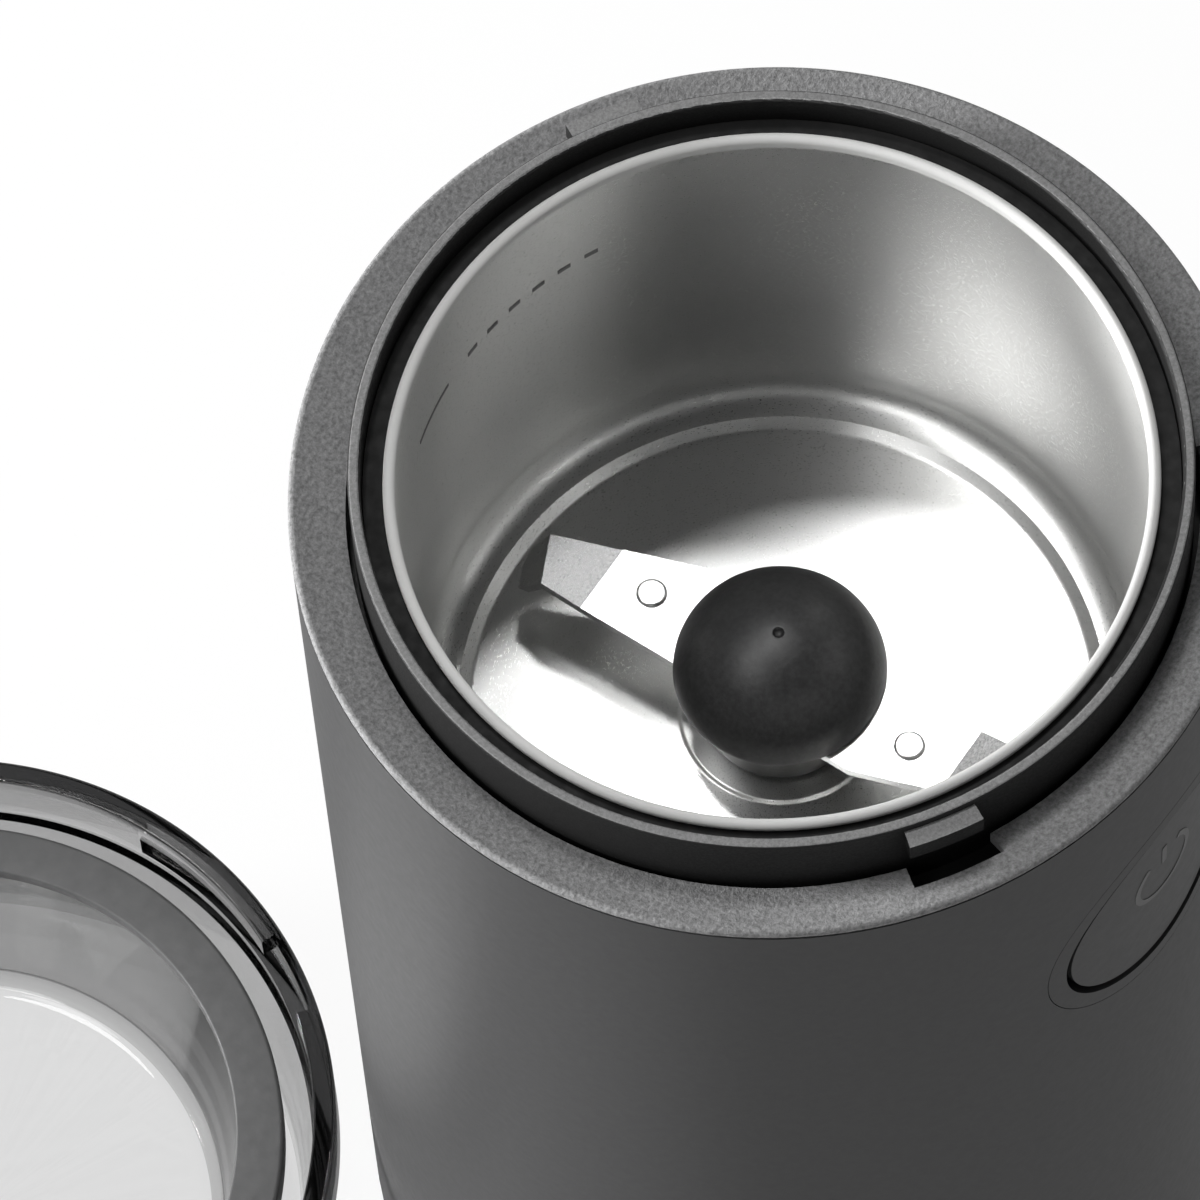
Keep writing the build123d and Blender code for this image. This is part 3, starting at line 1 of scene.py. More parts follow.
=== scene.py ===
"""Finishes, fine pieces, printed marks, light and camera for the electric spice grinder.

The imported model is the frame: the grinder's axis is x = y = 0 and +Z is up. Sizes are in millimetres, which
MM turns into the frame's metres, unless a line says otherwise. Angles are in degrees, about +Z from +X.
"""

import json
import math

import bmesh
import bpy
from mathutils import Matrix, Vector


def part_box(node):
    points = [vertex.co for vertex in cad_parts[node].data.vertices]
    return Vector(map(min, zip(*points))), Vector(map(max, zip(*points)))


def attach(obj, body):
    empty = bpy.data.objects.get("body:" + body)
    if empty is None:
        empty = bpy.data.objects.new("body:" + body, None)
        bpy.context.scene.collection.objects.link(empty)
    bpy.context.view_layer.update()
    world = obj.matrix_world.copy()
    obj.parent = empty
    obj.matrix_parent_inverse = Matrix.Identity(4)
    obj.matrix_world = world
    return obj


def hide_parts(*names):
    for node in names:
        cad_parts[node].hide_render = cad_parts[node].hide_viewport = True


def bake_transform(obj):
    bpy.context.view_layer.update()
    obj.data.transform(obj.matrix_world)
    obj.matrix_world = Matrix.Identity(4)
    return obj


MM = 0.001

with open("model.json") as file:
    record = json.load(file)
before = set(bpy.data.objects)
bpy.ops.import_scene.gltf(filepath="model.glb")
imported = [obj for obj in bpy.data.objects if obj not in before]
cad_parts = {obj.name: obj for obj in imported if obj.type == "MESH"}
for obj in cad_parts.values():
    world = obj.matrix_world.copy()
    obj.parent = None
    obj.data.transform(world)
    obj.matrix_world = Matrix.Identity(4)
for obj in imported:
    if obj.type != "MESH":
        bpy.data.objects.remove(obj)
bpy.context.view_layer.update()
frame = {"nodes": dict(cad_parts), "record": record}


def sizes_mm(node):
    """A node's lowest and highest height, and its reach along +X."""
    low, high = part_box(node)
    return low.z / MM, high.z / MM, high.x / MM


# Corners read from the frame, in metres
RING_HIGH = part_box("top_ring")[1]
BUTTON_LOW, BUTTON_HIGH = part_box("push_button")
LID_LOW, LID_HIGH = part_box("lid_shell")
LID_MIDDLE = (LID_LOW + LID_HIGH) / 2

# Bowl: drawn from sheet, with a rim that is rolled out past its inner wall
_, RIM_Z, RIM_R = sizes_mm("steel_bowl")
RIM_REACH = 1.2
BOWL_DEPTH = 54.1
BOWL_R = RIM_R - RIM_REACH
FLOOR_Z = RIM_Z - BOWL_DEPTH
SHEET = 0.7
CORNER_R = 3.6
RIM_ROLL = 1.3

# The lid's plate is this thick, the fan and commutator have this bore, and the level marks start at this height
LID_PLATE = 3.0
ROTOR_BORE = 4.06
LEVEL_Z = 147.3

# Screws and feet: the radius of each circle, and the angle at which its first one stands
BASE_SCREW_CIRCLE = 33.5
CARRIER_SCREW_CIRCLE = 42.0
CUSHION_SCREW_CIRCLE = 21.5
MOTOR_SCREW_CIRCLE = 24.3
FOOT_CIRCLE = 38.5
SCREW_AZ = -10.0
MOTOR_SCREW_AZ = 90.0
FOOT_AZ = 50.0
HEAD_HEIGHT = 1.8
NUT_HEIGHT = 1.8
SHORT_SCREW = 9.0
THREAD_PITCH = 0.7

# Turned shapes have this many sides, and edges sharper than this angle stay hard
ROUND_SIDES = 288
SHARP = math.radians(35.0)

# Camera: its place as seen from the top ring's middle, with the distance in metres, and how it is aimed off it
CAMERA_DISTANCE = 21.0 * RING_HIGH.x
CAMERA_HEIGHT_ANGLE = 63.49
CAMERA_AZ = -141.6
AIM_PAN = -2.27
AIM_TILT = 0.55
CAMERA_ROLL = 4.59
SENSOR = 36.0
LENS = 305.8

# Levels: the even fill, what metal and glass see at the horizon and overhead, the share of the floor that is
# its own glow, and how bright the floor is in metal
FILL = 0.08
HORIZON = 0.95
OVERHEAD = 0.03
FLOOR_GLOW = 0.92
FLOOR_MIRRORED = 0.3

# Metres from the bowl's rim to each lamp, and half the floor's side
LAMP_DISTANCE = 1.2
FLOOR_HALF = 3.0


def tree_math(tree, operation, first, second=0.0):
    """A Math node on sockets or plain numbers."""
    made = tree.nodes.new("ShaderNodeMath")
    made.operation = operation
    for socket, value in zip(made.inputs, (first, second)):
        if isinstance(value, (int, float)):
            socket.default_value = value
        else:
            tree.links.new(value, socket)
    return made.outputs[0]


# Materials
class Finish:
    """A node material under construction, with short ways to add what most finishes need."""

    def __init__(self, name, colour, roughness, metallic=0.0):
        self.material = bpy.data.materials.new(name)
        self.material.use_nodes = True
        self.tree = self.material.node_tree
        self.shader = self.tree.nodes["Principled BSDF"]
        self.set(self.shader, **{"Base Color": (*colour, 1.0)}, Roughness=roughness, Metallic=metallic)
        self.coords = self.node("ShaderNodeTexCoord").outputs["Object"]

    def set(self, node, **values):
        for socket, value in values.items():
            node.inputs[socket].default_value = value

    def node(self, kind, **settings):
        made = self.tree.nodes.new(kind)
        for name, value in settings.items():
            setattr(made, name, value)
        return made

    def link(self, output, socket):
        self.tree.links.new(output, socket)

    def math(self, operation, first, second=0.0):
        return tree_math(self.tree, operation, first, second)

    def noise(self, scale, detail=3.0, roughness=0.5, stretch=(1, 1, 1), vector=None):
        """Noise whose cells are 1 / scale metres across."""
        mapping = self.node("ShaderNodeMapping")
        self.set(mapping, Scale=stretch)
        self.link(vector or self.coords, mapping.inputs["Vector"])
        made = self.node("ShaderNodeTexNoise")
        self.set(made, Scale=scale, Detail=detail, Roughness=roughness)
        self.link(mapping.outputs[0], made.inputs["Vector"])
        return made.outputs["Fac"]

    def cells(self, scale):
        made = self.node("ShaderNodeTexVoronoi", feature="SMOOTH_F1")
        self.set(made, Scale=scale)
        self.link(self.coords, made.inputs["Vector"])
        return made.outputs["Distance"]

    def between(self, factor, low, high):
        """A value that runs from low to high as the factor runs over its middle range."""
        made = self.node("ShaderNodeMapRange")
        self.set(made, **{"From Min": 0.3, "From Max": 0.7, "To Min": low, "To Max": high})
        self.link(factor, made.inputs["Value"])
        return made.outputs[0]

    def shade(self, factor, dark, light):
        """Base colour that varies between two colours."""
        made = self.node("ShaderNodeMix", data_type="RGBA")
        colours = [s for s in made.inputs if s.type == "RGBA"]
        colours[0].default_value = (*dark, 1.0)
        colours[1].default_value = (*light, 1.0)
        self.link(factor, made.inputs["Factor"])
        result = [s for s in made.outputs if s.type == "RGBA"][0]
        self.link(result, self.shader.inputs["Base Color"])

    def rough(self, factor, low, high):
        self.link(self.between(factor, low, high), self.shader.inputs["Roughness"])

    def bump(self, height, depth, strength=1.0):
        made = self.node("ShaderNodeBump")
        self.set(made, Strength=strength, Distance=depth)
        self.link(height, made.inputs["Height"])
        self.link(made.outputs[0], self.shader.inputs["Normal"])

    def parts(self, vector=None):
        """X, Y and Z of a vector, or of the place on the piece, as single values."""
        made = self.node("ShaderNodeSeparateXYZ")
        self.link(vector or self.coords, made.inputs[0])
        return made.outputs

    def around_axis(self):
        """Distance from the grinder's axis, height and a little of the angle, as one vector."""
        x, y, z = self.parts()
        squares = self.math("ADD", self.math("MULTIPLY", x, x), self.math("MULTIPLY", y, y))
        angle = self.math("MULTIPLY", self.math("ARCTAN2", y, x), 0.01)
        vector = self.node("ShaderNodeCombineXYZ")
        for output, socket in zip((self.math("SQRT", squares), z, angle), vector.inputs):
            self.link(output, socket)
        return vector.outputs[0]


def moulded(name, colour, roughness, grain=2600.0, depth=0.004, mottle=0.05):
    """Moulded plastic with a fine spark-eroded grain."""
    finish = Finish(name, colour, roughness)
    grain_height = finish.noise(grain, 2.0, 0.6)
    speckle = finish.between(grain_height, 0.0, 1.0)
    finish.shade(speckle, [c * (1 - mottle) for c in colour], [c * (1 + mottle) for c in colour])
    finish.rough(finish.noise(grain / 3, 2.0), roughness - 0.02, roughness + 0.02)
    finish.bump(grain_height, depth * MM)
    return finish.material


def textured(name, colour, roughness, grain, depth):
    """Coarse leather-like grain for the top ring."""
    finish = Finish(name, colour, roughness)
    grain_height = finish.noise(grain, 3.0, 0.7)
    finish.shade(finish.between(grain_height, 0.0, 1.0), [c * 0.6 for c in colour], [c * 1.4 for c in colour])
    finish.rough(finish.noise(grain / 2, 2.0), roughness - 0.06, roughness + 0.08)
    finish.bump(grain_height, depth * MM)
    finish.set(finish.shader, **{"Specular IOR Level": 0.3})
    return finish.material


def collar_painted_light_and_shade(name, wall, top):
    """Painted light and shade: a nearly black colour on the walls as painted shade, and a light grained colour
    painted where the collar faces up, on its upper edge and lug tops.
    """
    finish = Finish(name, wall, 0.5)
    # Painted light: the light colour goes only on faces above the rim that point up; everything else keeps the
    # near black of painted shade
    facing = finish.parts(finish.node("ShaderNodeNewGeometry").outputs["Normal"])
    high = finish.math("GREATER_THAN", finish.parts()["Z"], (RIM_Z + 1.6) * MM)
    upward = finish.math("GREATER_THAN", facing["Z"], 0.85)
    grain = finish.noise(3200.0, 2.0, 0.7)
    painted_light_mask = finish.math("MULTIPLY", high, upward)
    finish.shade(finish.math("MULTIPLY", painted_light_mask, finish.between(grain, 0.55, 1.0)), wall, top)
    finish.rough(grain, 0.45, 0.6)
    finish.bump(grain, 0.02 * MM)
    finish.set(finish.shader, **{"Specular IOR Level": 0.3})
    return finish.material


def rubber(name, colour, roughness=0.75):
    """Dull rubber with soft blotches and a fine skin."""
    finish = Finish(name, colour, roughness)
    finish.shade(finish.noise(300.0, 4.0), [c * 0.8 for c in colour], [c * 1.2 for c in colour])
    finish.rough(finish.noise(800.0, 3.0), roughness - 0.08, roughness + 0.08)
    finish.bump(finish.noise(2500.0, 3.0), 0.01 * MM)
    return finish.material


def spun_steel(name, colour, roughness):
    """Drawn steel with fine marks round the axis, and a duller rolled rim."""
    finish = Finish(name, colour, roughness, 1.0)
    lines = finish.noise(9000.0, 2.0, 0.6, vector=finish.around_axis())
    finish.shade(finish.noise(60.0, 4.0), [c * 0.93 for c in colour], colour)
    rim = finish.math("GREATER_THAN", finish.parts()["Z"], (RIM_Z - RIM_ROLL) * MM)
    satin = finish.between(lines, roughness - 0.04, roughness + 0.06)
    duller = finish.math("ADD", satin, finish.math("MULTIPLY", rim, 0.4))
    paler = finish.math("SUBTRACT", 1.0, finish.math("MULTIPLY", rim, 0.6))
    finish.link(duller, finish.shader.inputs["Roughness"])
    finish.link(paler, finish.shader.inputs["Metallic"])
    finish.bump(lines, 0.002 * MM, 0.5)
    around = finish.node("ShaderNodeTangent", direction_type="RADIAL", axis="Z")
    finish.link(around.outputs[0], finish.shader.inputs["Tangent"])
    finish.set(finish.shader, **{"Anisotropic Rotation": 0.25}, Anisotropic=0.75)
    return finish.material


def brushed_steel(name, colour, roughness, stretch=(1, 1, 1), depth=0.003):
    """Metal with fine marks, even or drawn out along an axis."""
    finish = Finish(name, colour, roughness, 1.0)
    lines = finish.noise(3000.0, 3.0, 0.6, stretch)
    finish.shade(finish.noise(150.0, 4.0), [c * 0.88 for c in colour], colour)
    finish.rough(lines, roughness - 0.06, roughness + 0.08)
    finish.bump(lines, depth * MM, 0.5)
    return finish.material


def laminated(name, colour):
    """Stacked steel sheets: half-millimetre bands along the axis."""
    finish = Finish(name, colour, 0.5, 0.8)
    wave = finish.node("ShaderNodeTexWave", bands_direction="Z")
    finish.set(wave, Scale=320.0, Distortion=0.0)
    finish.link(finish.coords, wave.inputs["Vector"])
    finish.shade(wave.outputs["Fac"], [c * 0.6 for c in colour], colour)
    finish.bump(wave.outputs["Fac"], 0.08 * MM)
    return finish.material


def wound_copper(name, colour):
    """Enamelled wire laid side by side."""
    finish = Finish(name, colour, 0.25, 0.9)
    wave = finish.node("ShaderNodeTexWave", bands_direction="X")
    finish.set(wave, Scale=420.0, Distortion=0.6)
    finish.link(finish.around_axis(), wave.inputs["Vector"])
    finish.shade(wave.outputs["Fac"], [c * 0.45 for c in colour], colour)
    finish.bump(wave.outputs["Fac"], 0.12 * MM)
    return finish.material


def circuit_green(name, colour):
    """Lacquered board with a mottled ground."""
    finish = Finish(name, colour, 0.35)
    finish.shade(finish.cells(400.0), [c * 0.6 for c in colour], [c * 1.3 for c in colour])
    finish.bump(finish.noise(1200.0), 0.01 * MM)
    return finish.material


def smoky_clear(name, tint, roughness=0.02):
    """Tinted plastic through which lamps light what lies under it; its walls above the plate carry painted
    shade, a darker colour than the plate.
    """
    finish = Finish(name, (0.97, 0.97, 0.97), roughness)
    finish.set(finish.shader, **{"Transmission Weight": 1.0}, IOR=1.49)
    # Painted shade: above the plate the lid's walls get a darker colour, standing in for light that refraction
    # loses there
    wall = finish.math("GREATER_THAN", finish.parts()["Z"], (LID_PLATE + 0.4) * MM)
    finish.shade(wall, (0.98, 0.98, 0.98), (0.5, 0.5, 0.5))
    finish.rough(finish.noise(60.0, 3.0), roughness * 0.7, roughness * 1.6)
    finish.bump(finish.noise(55.0, 2.0), 0.02 * MM, 0.3)
    smoke = finish.node("ShaderNodeVolumeAbsorption")
    finish.set(smoke, Color=(*tint, 1.0), Density=100.0)
    passing = finish.node("ShaderNodeBsdfTransparent")
    finish.set(passing, Color=(0.8, 0.8, 0.8, 1.0))
    ray = finish.node("ShaderNodeLightPath")
    mix = finish.node("ShaderNodeMixShader")
    finish.link(ray.outputs["Is Shadow Ray"], mix.inputs[0])
    finish.link(finish.shader.outputs[0], mix.inputs[1])
    finish.link(passing.outputs[0], mix.inputs[2])
    result = finish.tree.nodes["Material Output"].inputs
    finish.link(mix.outputs[0], result["Surface"])
    finish.link(smoke.outputs[0], result["Volume"])
    return finish.material


FINISHES = {
    "body_plastic": moulded("satin_body_plastic", (0.055, 0.055, 0.056), 0.42),
    "ring_plastic": textured("grained_ring_plastic", (0.25, 0.25, 0.252), 0.6, 2200.0, 0.12),
    "base_plastic": moulded("base_plastic", (0.035, 0.035, 0.036), 0.6, 2000.0, 0.01),
    "gasket_rubber": rubber("gasket_rubber", (0.007, 0.007, 0.007)),
    "bowl_steel": spun_steel("spun_bowl_steel", (0.76, 0.76, 0.75), 0.3),
    "seal_rubber": rubber("seal_rubber", (0.075, 0.075, 0.076), 0.55),
    "foot_rubber": rubber("foot_rubber", (0.035, 0.035, 0.035)),
    "inner_plastic": moulded("inner_plastic", (0.2, 0.2, 0.205), 0.5),
    "switch_plastic": moulded("switch_plastic", (0.05, 0.05, 0.055), 0.45),
    "plunger_plastic": moulded("plunger_plastic", (0.6, 0.06, 0.05), 0.4),
    "screw_steel": brushed_steel("zinc_screw_steel", (0.62, 0.62, 0.63), 0.35),
    "bracket_metal": brushed_steel("cast_bracket_metal", (0.6, 0.6, 0.62), 0.5, depth=0.02),
    "bearing_metal": brushed_steel("sintered_bearing_bronze", (0.62, 0.45, 0.24), 0.45),
    "core_steel": laminated("laminated_core_steel", (0.34, 0.34, 0.35)),
    "copper": wound_copper("wound_copper", (0.72, 0.3, 0.14)),
    "carbon": moulded("brush_carbon", (0.03, 0.03, 0.03), 0.6),
    "spring_steel": brushed_steel("spring_steel", (0.55, 0.55, 0.56), 0.3),
    "shaft_steel": brushed_steel("ground_shaft_steel", (0.62, 0.62, 0.63), 0.22, (1, 1, 30)),
    "blade_steel": brushed_steel("brushed_blade_steel", (0.8, 0.8, 0.8), 0.27, (1, 20, 1)),
    "cap_plastic": moulded("blade_cap_plastic", (0.024, 0.024, 0.0245), 0.42, 1600.0, 0.02, 0.3),
    "button_plastic": moulded("button_plastic", (0.05, 0.05, 0.051), 0.36),
    "pin_plastic": moulded("pin_plastic", (0.05, 0.05, 0.05), 0.4),
    "board": circuit_green("circuit_board_green", (0.03, 0.2, 0.09)),
    "component_plastic": moulded("capacitor_plastic", (0.5, 0.36, 0.05), 0.3),
    "rectifier_plastic": moulded("rectifier_plastic", (0.03, 0.03, 0.03), 0.4),
    "lid_clear": smoky_clear("smoky_lid_plastic", (0.12, 0.12, 0.125)),
    "mark_paint": moulded("grey_mark_paint", (0.2, 0.2, 0.2), 0.5),
}
# The collar's finish carries painted light on its top and painted shade on its walls
COLLAR_FINISH = collar_painted_light_and_shade("collar_plastic", (0.008, 0.008, 0.008), (0.26, 0.26, 0.26))


def dress_nodes():
    """Gives every node of the frame the finish of its material slot."""
    for part in frame["record"]["subparts"]:
        mesh = frame["nodes"][part["node"]].data
        mesh.materials.clear()
        collar = part["node"] == "bowl_collar"
        mesh.materials.append(COLLAR_FINISH if collar else FINISHES[part["material_slot"]])


# Shapes
def finished_mesh(name, build):
    """A smooth shaded object from a bmesh, with outward normals and its real corners kept sharp."""
    bmesh.ops.recalc_face_normals(build, faces=build.faces)
    mesh = bpy.data.meshes.new(name)
    build.to_mesh(mesh)
    build.free()
    mesh.polygons.foreach_set("use_smooth", [True] * len(mesh.polygons))
    mesh.set_sharp_from_angle(angle=SHARP)
    made = bpy.data.objects.new(name, mesh)
    bpy.context.scene.collection.objects.link(made)
    return made


def settled(piece):
    """Applies a piece's modifiers, so that it is a plain mesh with its real corners kept sharp."""
    depsgraph = bpy.context.evaluated_depsgraph_get()
    mesh = bpy.data.meshes.new_from_object(piece.evaluated_get(depsgraph))
    piece.modifiers.clear()
    piece.data = mesh
    mesh.set_sharp_from_angle(angle=SHARP)
    return piece


def lathe(name, outline, middle=(0.0, 0.0), steps=ROUND_SIDES):
    """A closed outline of (radius, height), turned about a vertical axis through the middle, in metres."""
    build = bmesh.new()
    columns = []
    for radius, height in outline:
        if radius == 0:
            columns.append([build.verts.new((*middle, height * MM))] * steps)
            continue
        turned = arc((0, 0), radius * MM, 0, 360, steps)[:-1]
        columns.append([build.verts.new((middle[0] + x, middle[1] + y, height * MM)) for x, y in turned])
    for first, second in zip(columns, columns[1:] + columns[:1]):
        for step in range(steps):
            after = (step + 1) % steps
            corners = list(dict.fromkeys((first[step], second[step], second[after], first[after])))
            if len(corners) > 2:
                build.faces.new(corners)
    return finished_mesh(name, build)


def prism(name, outline, low, high):
    """An upright solid over an outline of (x, y)."""
    build = bmesh.new()
    layers = [[build.verts.new((x * MM, y * MM, z * MM)) for x, y in outline] for z in (low, high)]
    for index in range(len(outline)):
        after = (index + 1) % len(outline)
        build.faces.new((layers[0][index], layers[0][after], layers[1][after], layers[1][index]))
    for layer in layers:
        build.faces.new(layer)
    return finished_mesh(name, build)


def joined(name, *pieces):
    """Several pieces as one mesh."""
    build = bmesh.new()
    for piece in pieces:
        build.from_mesh(piece.data)
        bpy.data.objects.remove(piece)
    return finished_mesh(name, build)


def arc(middle, radius, start, end, steps=8):
    """Points on an arc, in the plane of an outline."""
    angles = [math.radians(start + (end - start) * step / steps) for step in range(steps + 1)]
    return [(middle[0] + radius * math.cos(a), middle[1] + radius * math.sin(a)) for a in angles]


def eased(corners, steps=5):
    """A closed outline whose corners (x, y, rounding) become arcs."""
    points = []
    for index, (x, y, rounding) in enumerate(corners):
        here = Vector((x, y))
        if rounding == 0:
            points.append((x, y))
            continue
        before = Vector(corners[index - 1][:2])
        after = Vector(corners[(index + 1) % len(corners)][:2])
        to_before, to_after = (before - here).normalized(), (after - here).normalized()
        half = to_before.angle(to_after) / 2
        reach = min(rounding / math.tan(half), 0.45 * (before - here).length, 0.45 * (after - here).length)
        for step in range(steps + 1):
            share = step / steps
            first = here + to_before * reach * (1 - share)
            second = here + to_after * reach * share
            points.append(tuple(first.lerp(second, share)))
    return points


def stroke(points, width):
    """A band of this width along points; both its sides in one closed outline."""
    left, right = [], []
    for index, point in enumerate(points):
        here = Vector(point)
        before = Vector(points[max(index - 1, 0)])
        after = Vector(points[min(index + 1, len(points) - 1)])
        along = (after - before).normalized()
        across = Vector((-along.y, along.x)) * width / 2
        left.append(here + across)
        right.append(here - across)
    return left + right[::-1]


def cut_sector(inner, outer, low, high, azimuth, span, middle):
    """A block shaped like part of a ring round the middle, in metres, for cutting."""
    build = bmesh.new()
    steps = 24
    base = Vector((*middle, 0))
    corners = ((inner, low), (outer, low), (outer, high), (inner, high))
    rows = []
    for step in range(steps + 1):
        turn = math.radians(azimuth - span / 2 + span * step / steps)
        across = Vector((math.cos(turn), math.sin(turn), 0))
        rows.append([build.verts.new(base + (across * r + Vector((0, 0, z))) * MM) for r, z in corners])
    for first, second in zip(rows, rows[1:]):
        for side in range(4):
            build.faces.new((first[side], first[(side + 1) % 4], second[(side + 1) % 4], second[side]))
    build.faces.new(rows[0])
    build.faces.new(reversed(rows[-1]))
    return finished_mesh("cutter", build)


def cut_out(piece, cutters):
    """Subtracts the cutters from a piece."""
    for cutter in cutters:
        hole = piece.modifiers.new("hole", "BOOLEAN")
        hole.operation = "DIFFERENCE"
        hole.solver = "EXACT"
        hole.object = cutter
    settled(piece)
    for cutter in cutters:
        bpy.data.objects.remove(cutter)
    return piece


def add_piece(piece, body, slot, *replaced):
    """Gives a finished piece its material, hides the frame's parts that it replaces, and sets it under the
    empty of the body that it rides on.
    """
    piece.data.materials.clear()
    piece.data.materials.append(FINISHES[slot])
    if replaced:
        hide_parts(*replaced)
    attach(piece, body)
    return piece


# Bowl, blade cap and lid
def bowl_outline():
    """Rolled rim, straight wall, rounded corner, and a floor that steps up to the shaft's seal."""
    hole_r, step_in, step_out, step = 7.1, 10.3, 10.6, 0.3
    corner_r = BOWL_R - CORNER_R
    corner = (corner_r, FLOOR_Z + 1.0 + CORNER_R)

    def floor(z):
        return [(hole_r, z + step, 0), (step_in, z + step, 0.4), (step_out, z, 0.4),
                (corner_r - 1.2, z, 1.0), (corner_r, z + 1.0, 0)]

    inside = arc(corner, CORNER_R, -88, 0, 16)
    rim = arc((BOWL_R + 0.6, RIM_Z - 0.6), 0.6, 180, -78, 28)
    outside = [(BOWL_R + SHEET, RIM_Z - 1.4)] + arc(corner, CORNER_R + SHEET, 0, -88, 16)
    return eased(floor(FLOOR_Z)) + inside + rim + outside + eased(floor(FLOOR_Z - SHEET)[::-1])


def make_bowl():
    """Replaces the bowl with one that has a rolled rim and a pressed floor."""
    add_piece(lathe("steel_bowl_skin", bowl_outline()), "body", "bowl_steel", "steel_bowl")


def make_blade_cap():
    """Dome with a small dimple in its crown, hollow below for the shaft."""
    base, crown, radius = sizes_mm("blade_cap")
    rise = crown - base
    steps = 40
    dome = []
    for step in range(steps + 1):
        angle = math.radians(2.0 + 84.5 * step / steps)
        dome.append((radius * math.cos(angle), base + rise * math.sin(angle)))
    dimple = [(0.62, crown - 0.02), (0.52, crown - 0.12), (0.42, crown - 0.38), (0.25, crown - 0.52),
              (0, crown - 0.55)]
    bore = [(0, base + 5.9), (3.05, base + 5.9), (3.05, base)]
    foot = [(radius - 0.25, base), (radius - 0.05, base + 0.12)]
    add_piece(lathe("domed_cap", foot + dome + dimple + bore), "rotor", "cap_plastic", "blade_cap")


def make_lid():
    """The lid lies upside down: its plate is on the ground and its rim is on top."""
    middle = (LID_MIDDLE.x, LID_MIDDLE.y)
    rim_r = LID_HIGH.x / MM - LID_MIDDLE.x / MM
    outside = [(0, 0, 0), (12.0, 0, 0), (24.0, 0, 0), (41.0, 0, 5.0), (43.4, 22.0, 0.6), (rim_r, 22.8, 0.3),
               (rim_r, 31.0, 0.5), (41.7, 31.0, 0.3), (41.7, 22.8, 0.4), (41.1, 22.0, 0.4)]
    inner_wall = [(38.7, LID_PLATE, 0.8), (31.8, LID_PLATE, 0.8), (36.4, 24.6, 0.25), (34.2, 24.6, 0.25),
                  (29.6, LID_PLATE, 3.0)]
    plate = [(24.0, LID_PLATE, 0), (12.0, LID_PLATE, 0), (0, LID_PLATE, 0)]
    lid = lathe("clear_lid", eased(outside + inner_wall + plate, 7), middle)
    # Two channels for the collar's lugs, each an open mouth and a lower run beside it
    inner, outer, channel_z = 40.7, 43.4, 24.1
    cutters = []
    for turn in (0, 180):
        cutters.append(cut_sector(inner, outer, channel_z, 32.0, turn - 29.1, 13.0, middle))
        cutters.append(cut_sector(inner, outer, channel_z, 27.6, turn - 9.1, 28.0, middle))
    add_piece(cut_out(lid, cutters), "lid", "lid_clear", "lid_shell")
    ring = eased([(33.0, 26.3, 0.3), (38.2, 26.3, 0.5), (38.2, 22.0, 0.3), (36.5, 22.0, 0), (36.5, 24.6, 0),
                  (33.0, 24.6, 0.2)])
    add_piece(lathe("lid_sealing_ring", ring, middle), "lid", "seal_rubber", "lid_seal")


# Repeated pieces
def start_tree(name, *inputs):
    """A tree that takes a shape, these inputs and a finish; gives the tree and what it is given."""
    tree = bpy.data.node_groups.new(name, "GeometryNodeTree")
    tree.is_modifier = True
    for label, kind in (("Shape", "Geometry"), *inputs, ("Finish", "Material")):
        tree.interface.new_socket(label, in_out="INPUT", socket_type="NodeSocket" + kind)
    tree.interface.new_socket("Pieces", in_out="OUTPUT", socket_type="NodeSocketGeometry")
    return tree, tree.nodes.new("NodeGroupInput").outputs


def end_tree(tree, given, made, *links):
    """Makes these links, and ends the tree in real geometry that carries the given finish."""
    real = tree.nodes.new("GeometryNodeRealizeInstances")
    dressed = tree.nodes.new("GeometryNodeSetMaterial")
    for output, socket in (
        *links,
        (made, real.inputs[0]),
        (real.outputs[0], dressed.inputs["Geometry"]),
        (given["Finish"], dressed.inputs["Material"]),
        (dressed.outputs[0], tree.nodes.new("NodeGroupOutput").inputs[0]),
    ):
        tree.links.new(output, socket)
    return tree


def copies_tree():
    """Sets copies of a shape on a circle round the grinder's axis, each turned to face out."""
    tree, given = start_tree("copies_round_axis", ("Copies", "Int"), ("First Turn", "Float"),
                             ("Step", "Float"), ("Circle Radius", "Float"))
    place = tree.nodes.new("ShaderNodeCombineXYZ")
    moved = tree.nodes.new("GeometryNodeTransform")
    spots = tree.nodes.new("GeometryNodePoints")
    index = tree.nodes.new("GeometryNodeInputIndex").outputs[0]
    turn = tree_math(tree, "ADD", tree_math(tree, "MULTIPLY", index, given["Step"]), given["First Turn"])
    rotation = tree.nodes.new("FunctionNodeAxisAngleToRotation")
    rotation.inputs["Axis"].default_value = (0, 0, 1)
    copies = tree.nodes.new("GeometryNodeInstanceOnPoints")
    return end_tree(
        tree, given, copies.outputs[0],
        (given["Circle Radius"], place.inputs["X"]),
        (place.outputs[0], moved.inputs["Translation"]),
        (given["Shape"], moved.inputs["Geometry"]),
        (given["Copies"], spots.inputs["Count"]),
        (spots.outputs[0], copies.inputs["Points"]),
        (moved.outputs[0], copies.inputs["Instance"]),
        (tree_math(tree, "RADIANS", turn), rotation.inputs["Angle"]),
        (rotation.outputs[0], copies.inputs["Rotation"]),
    )


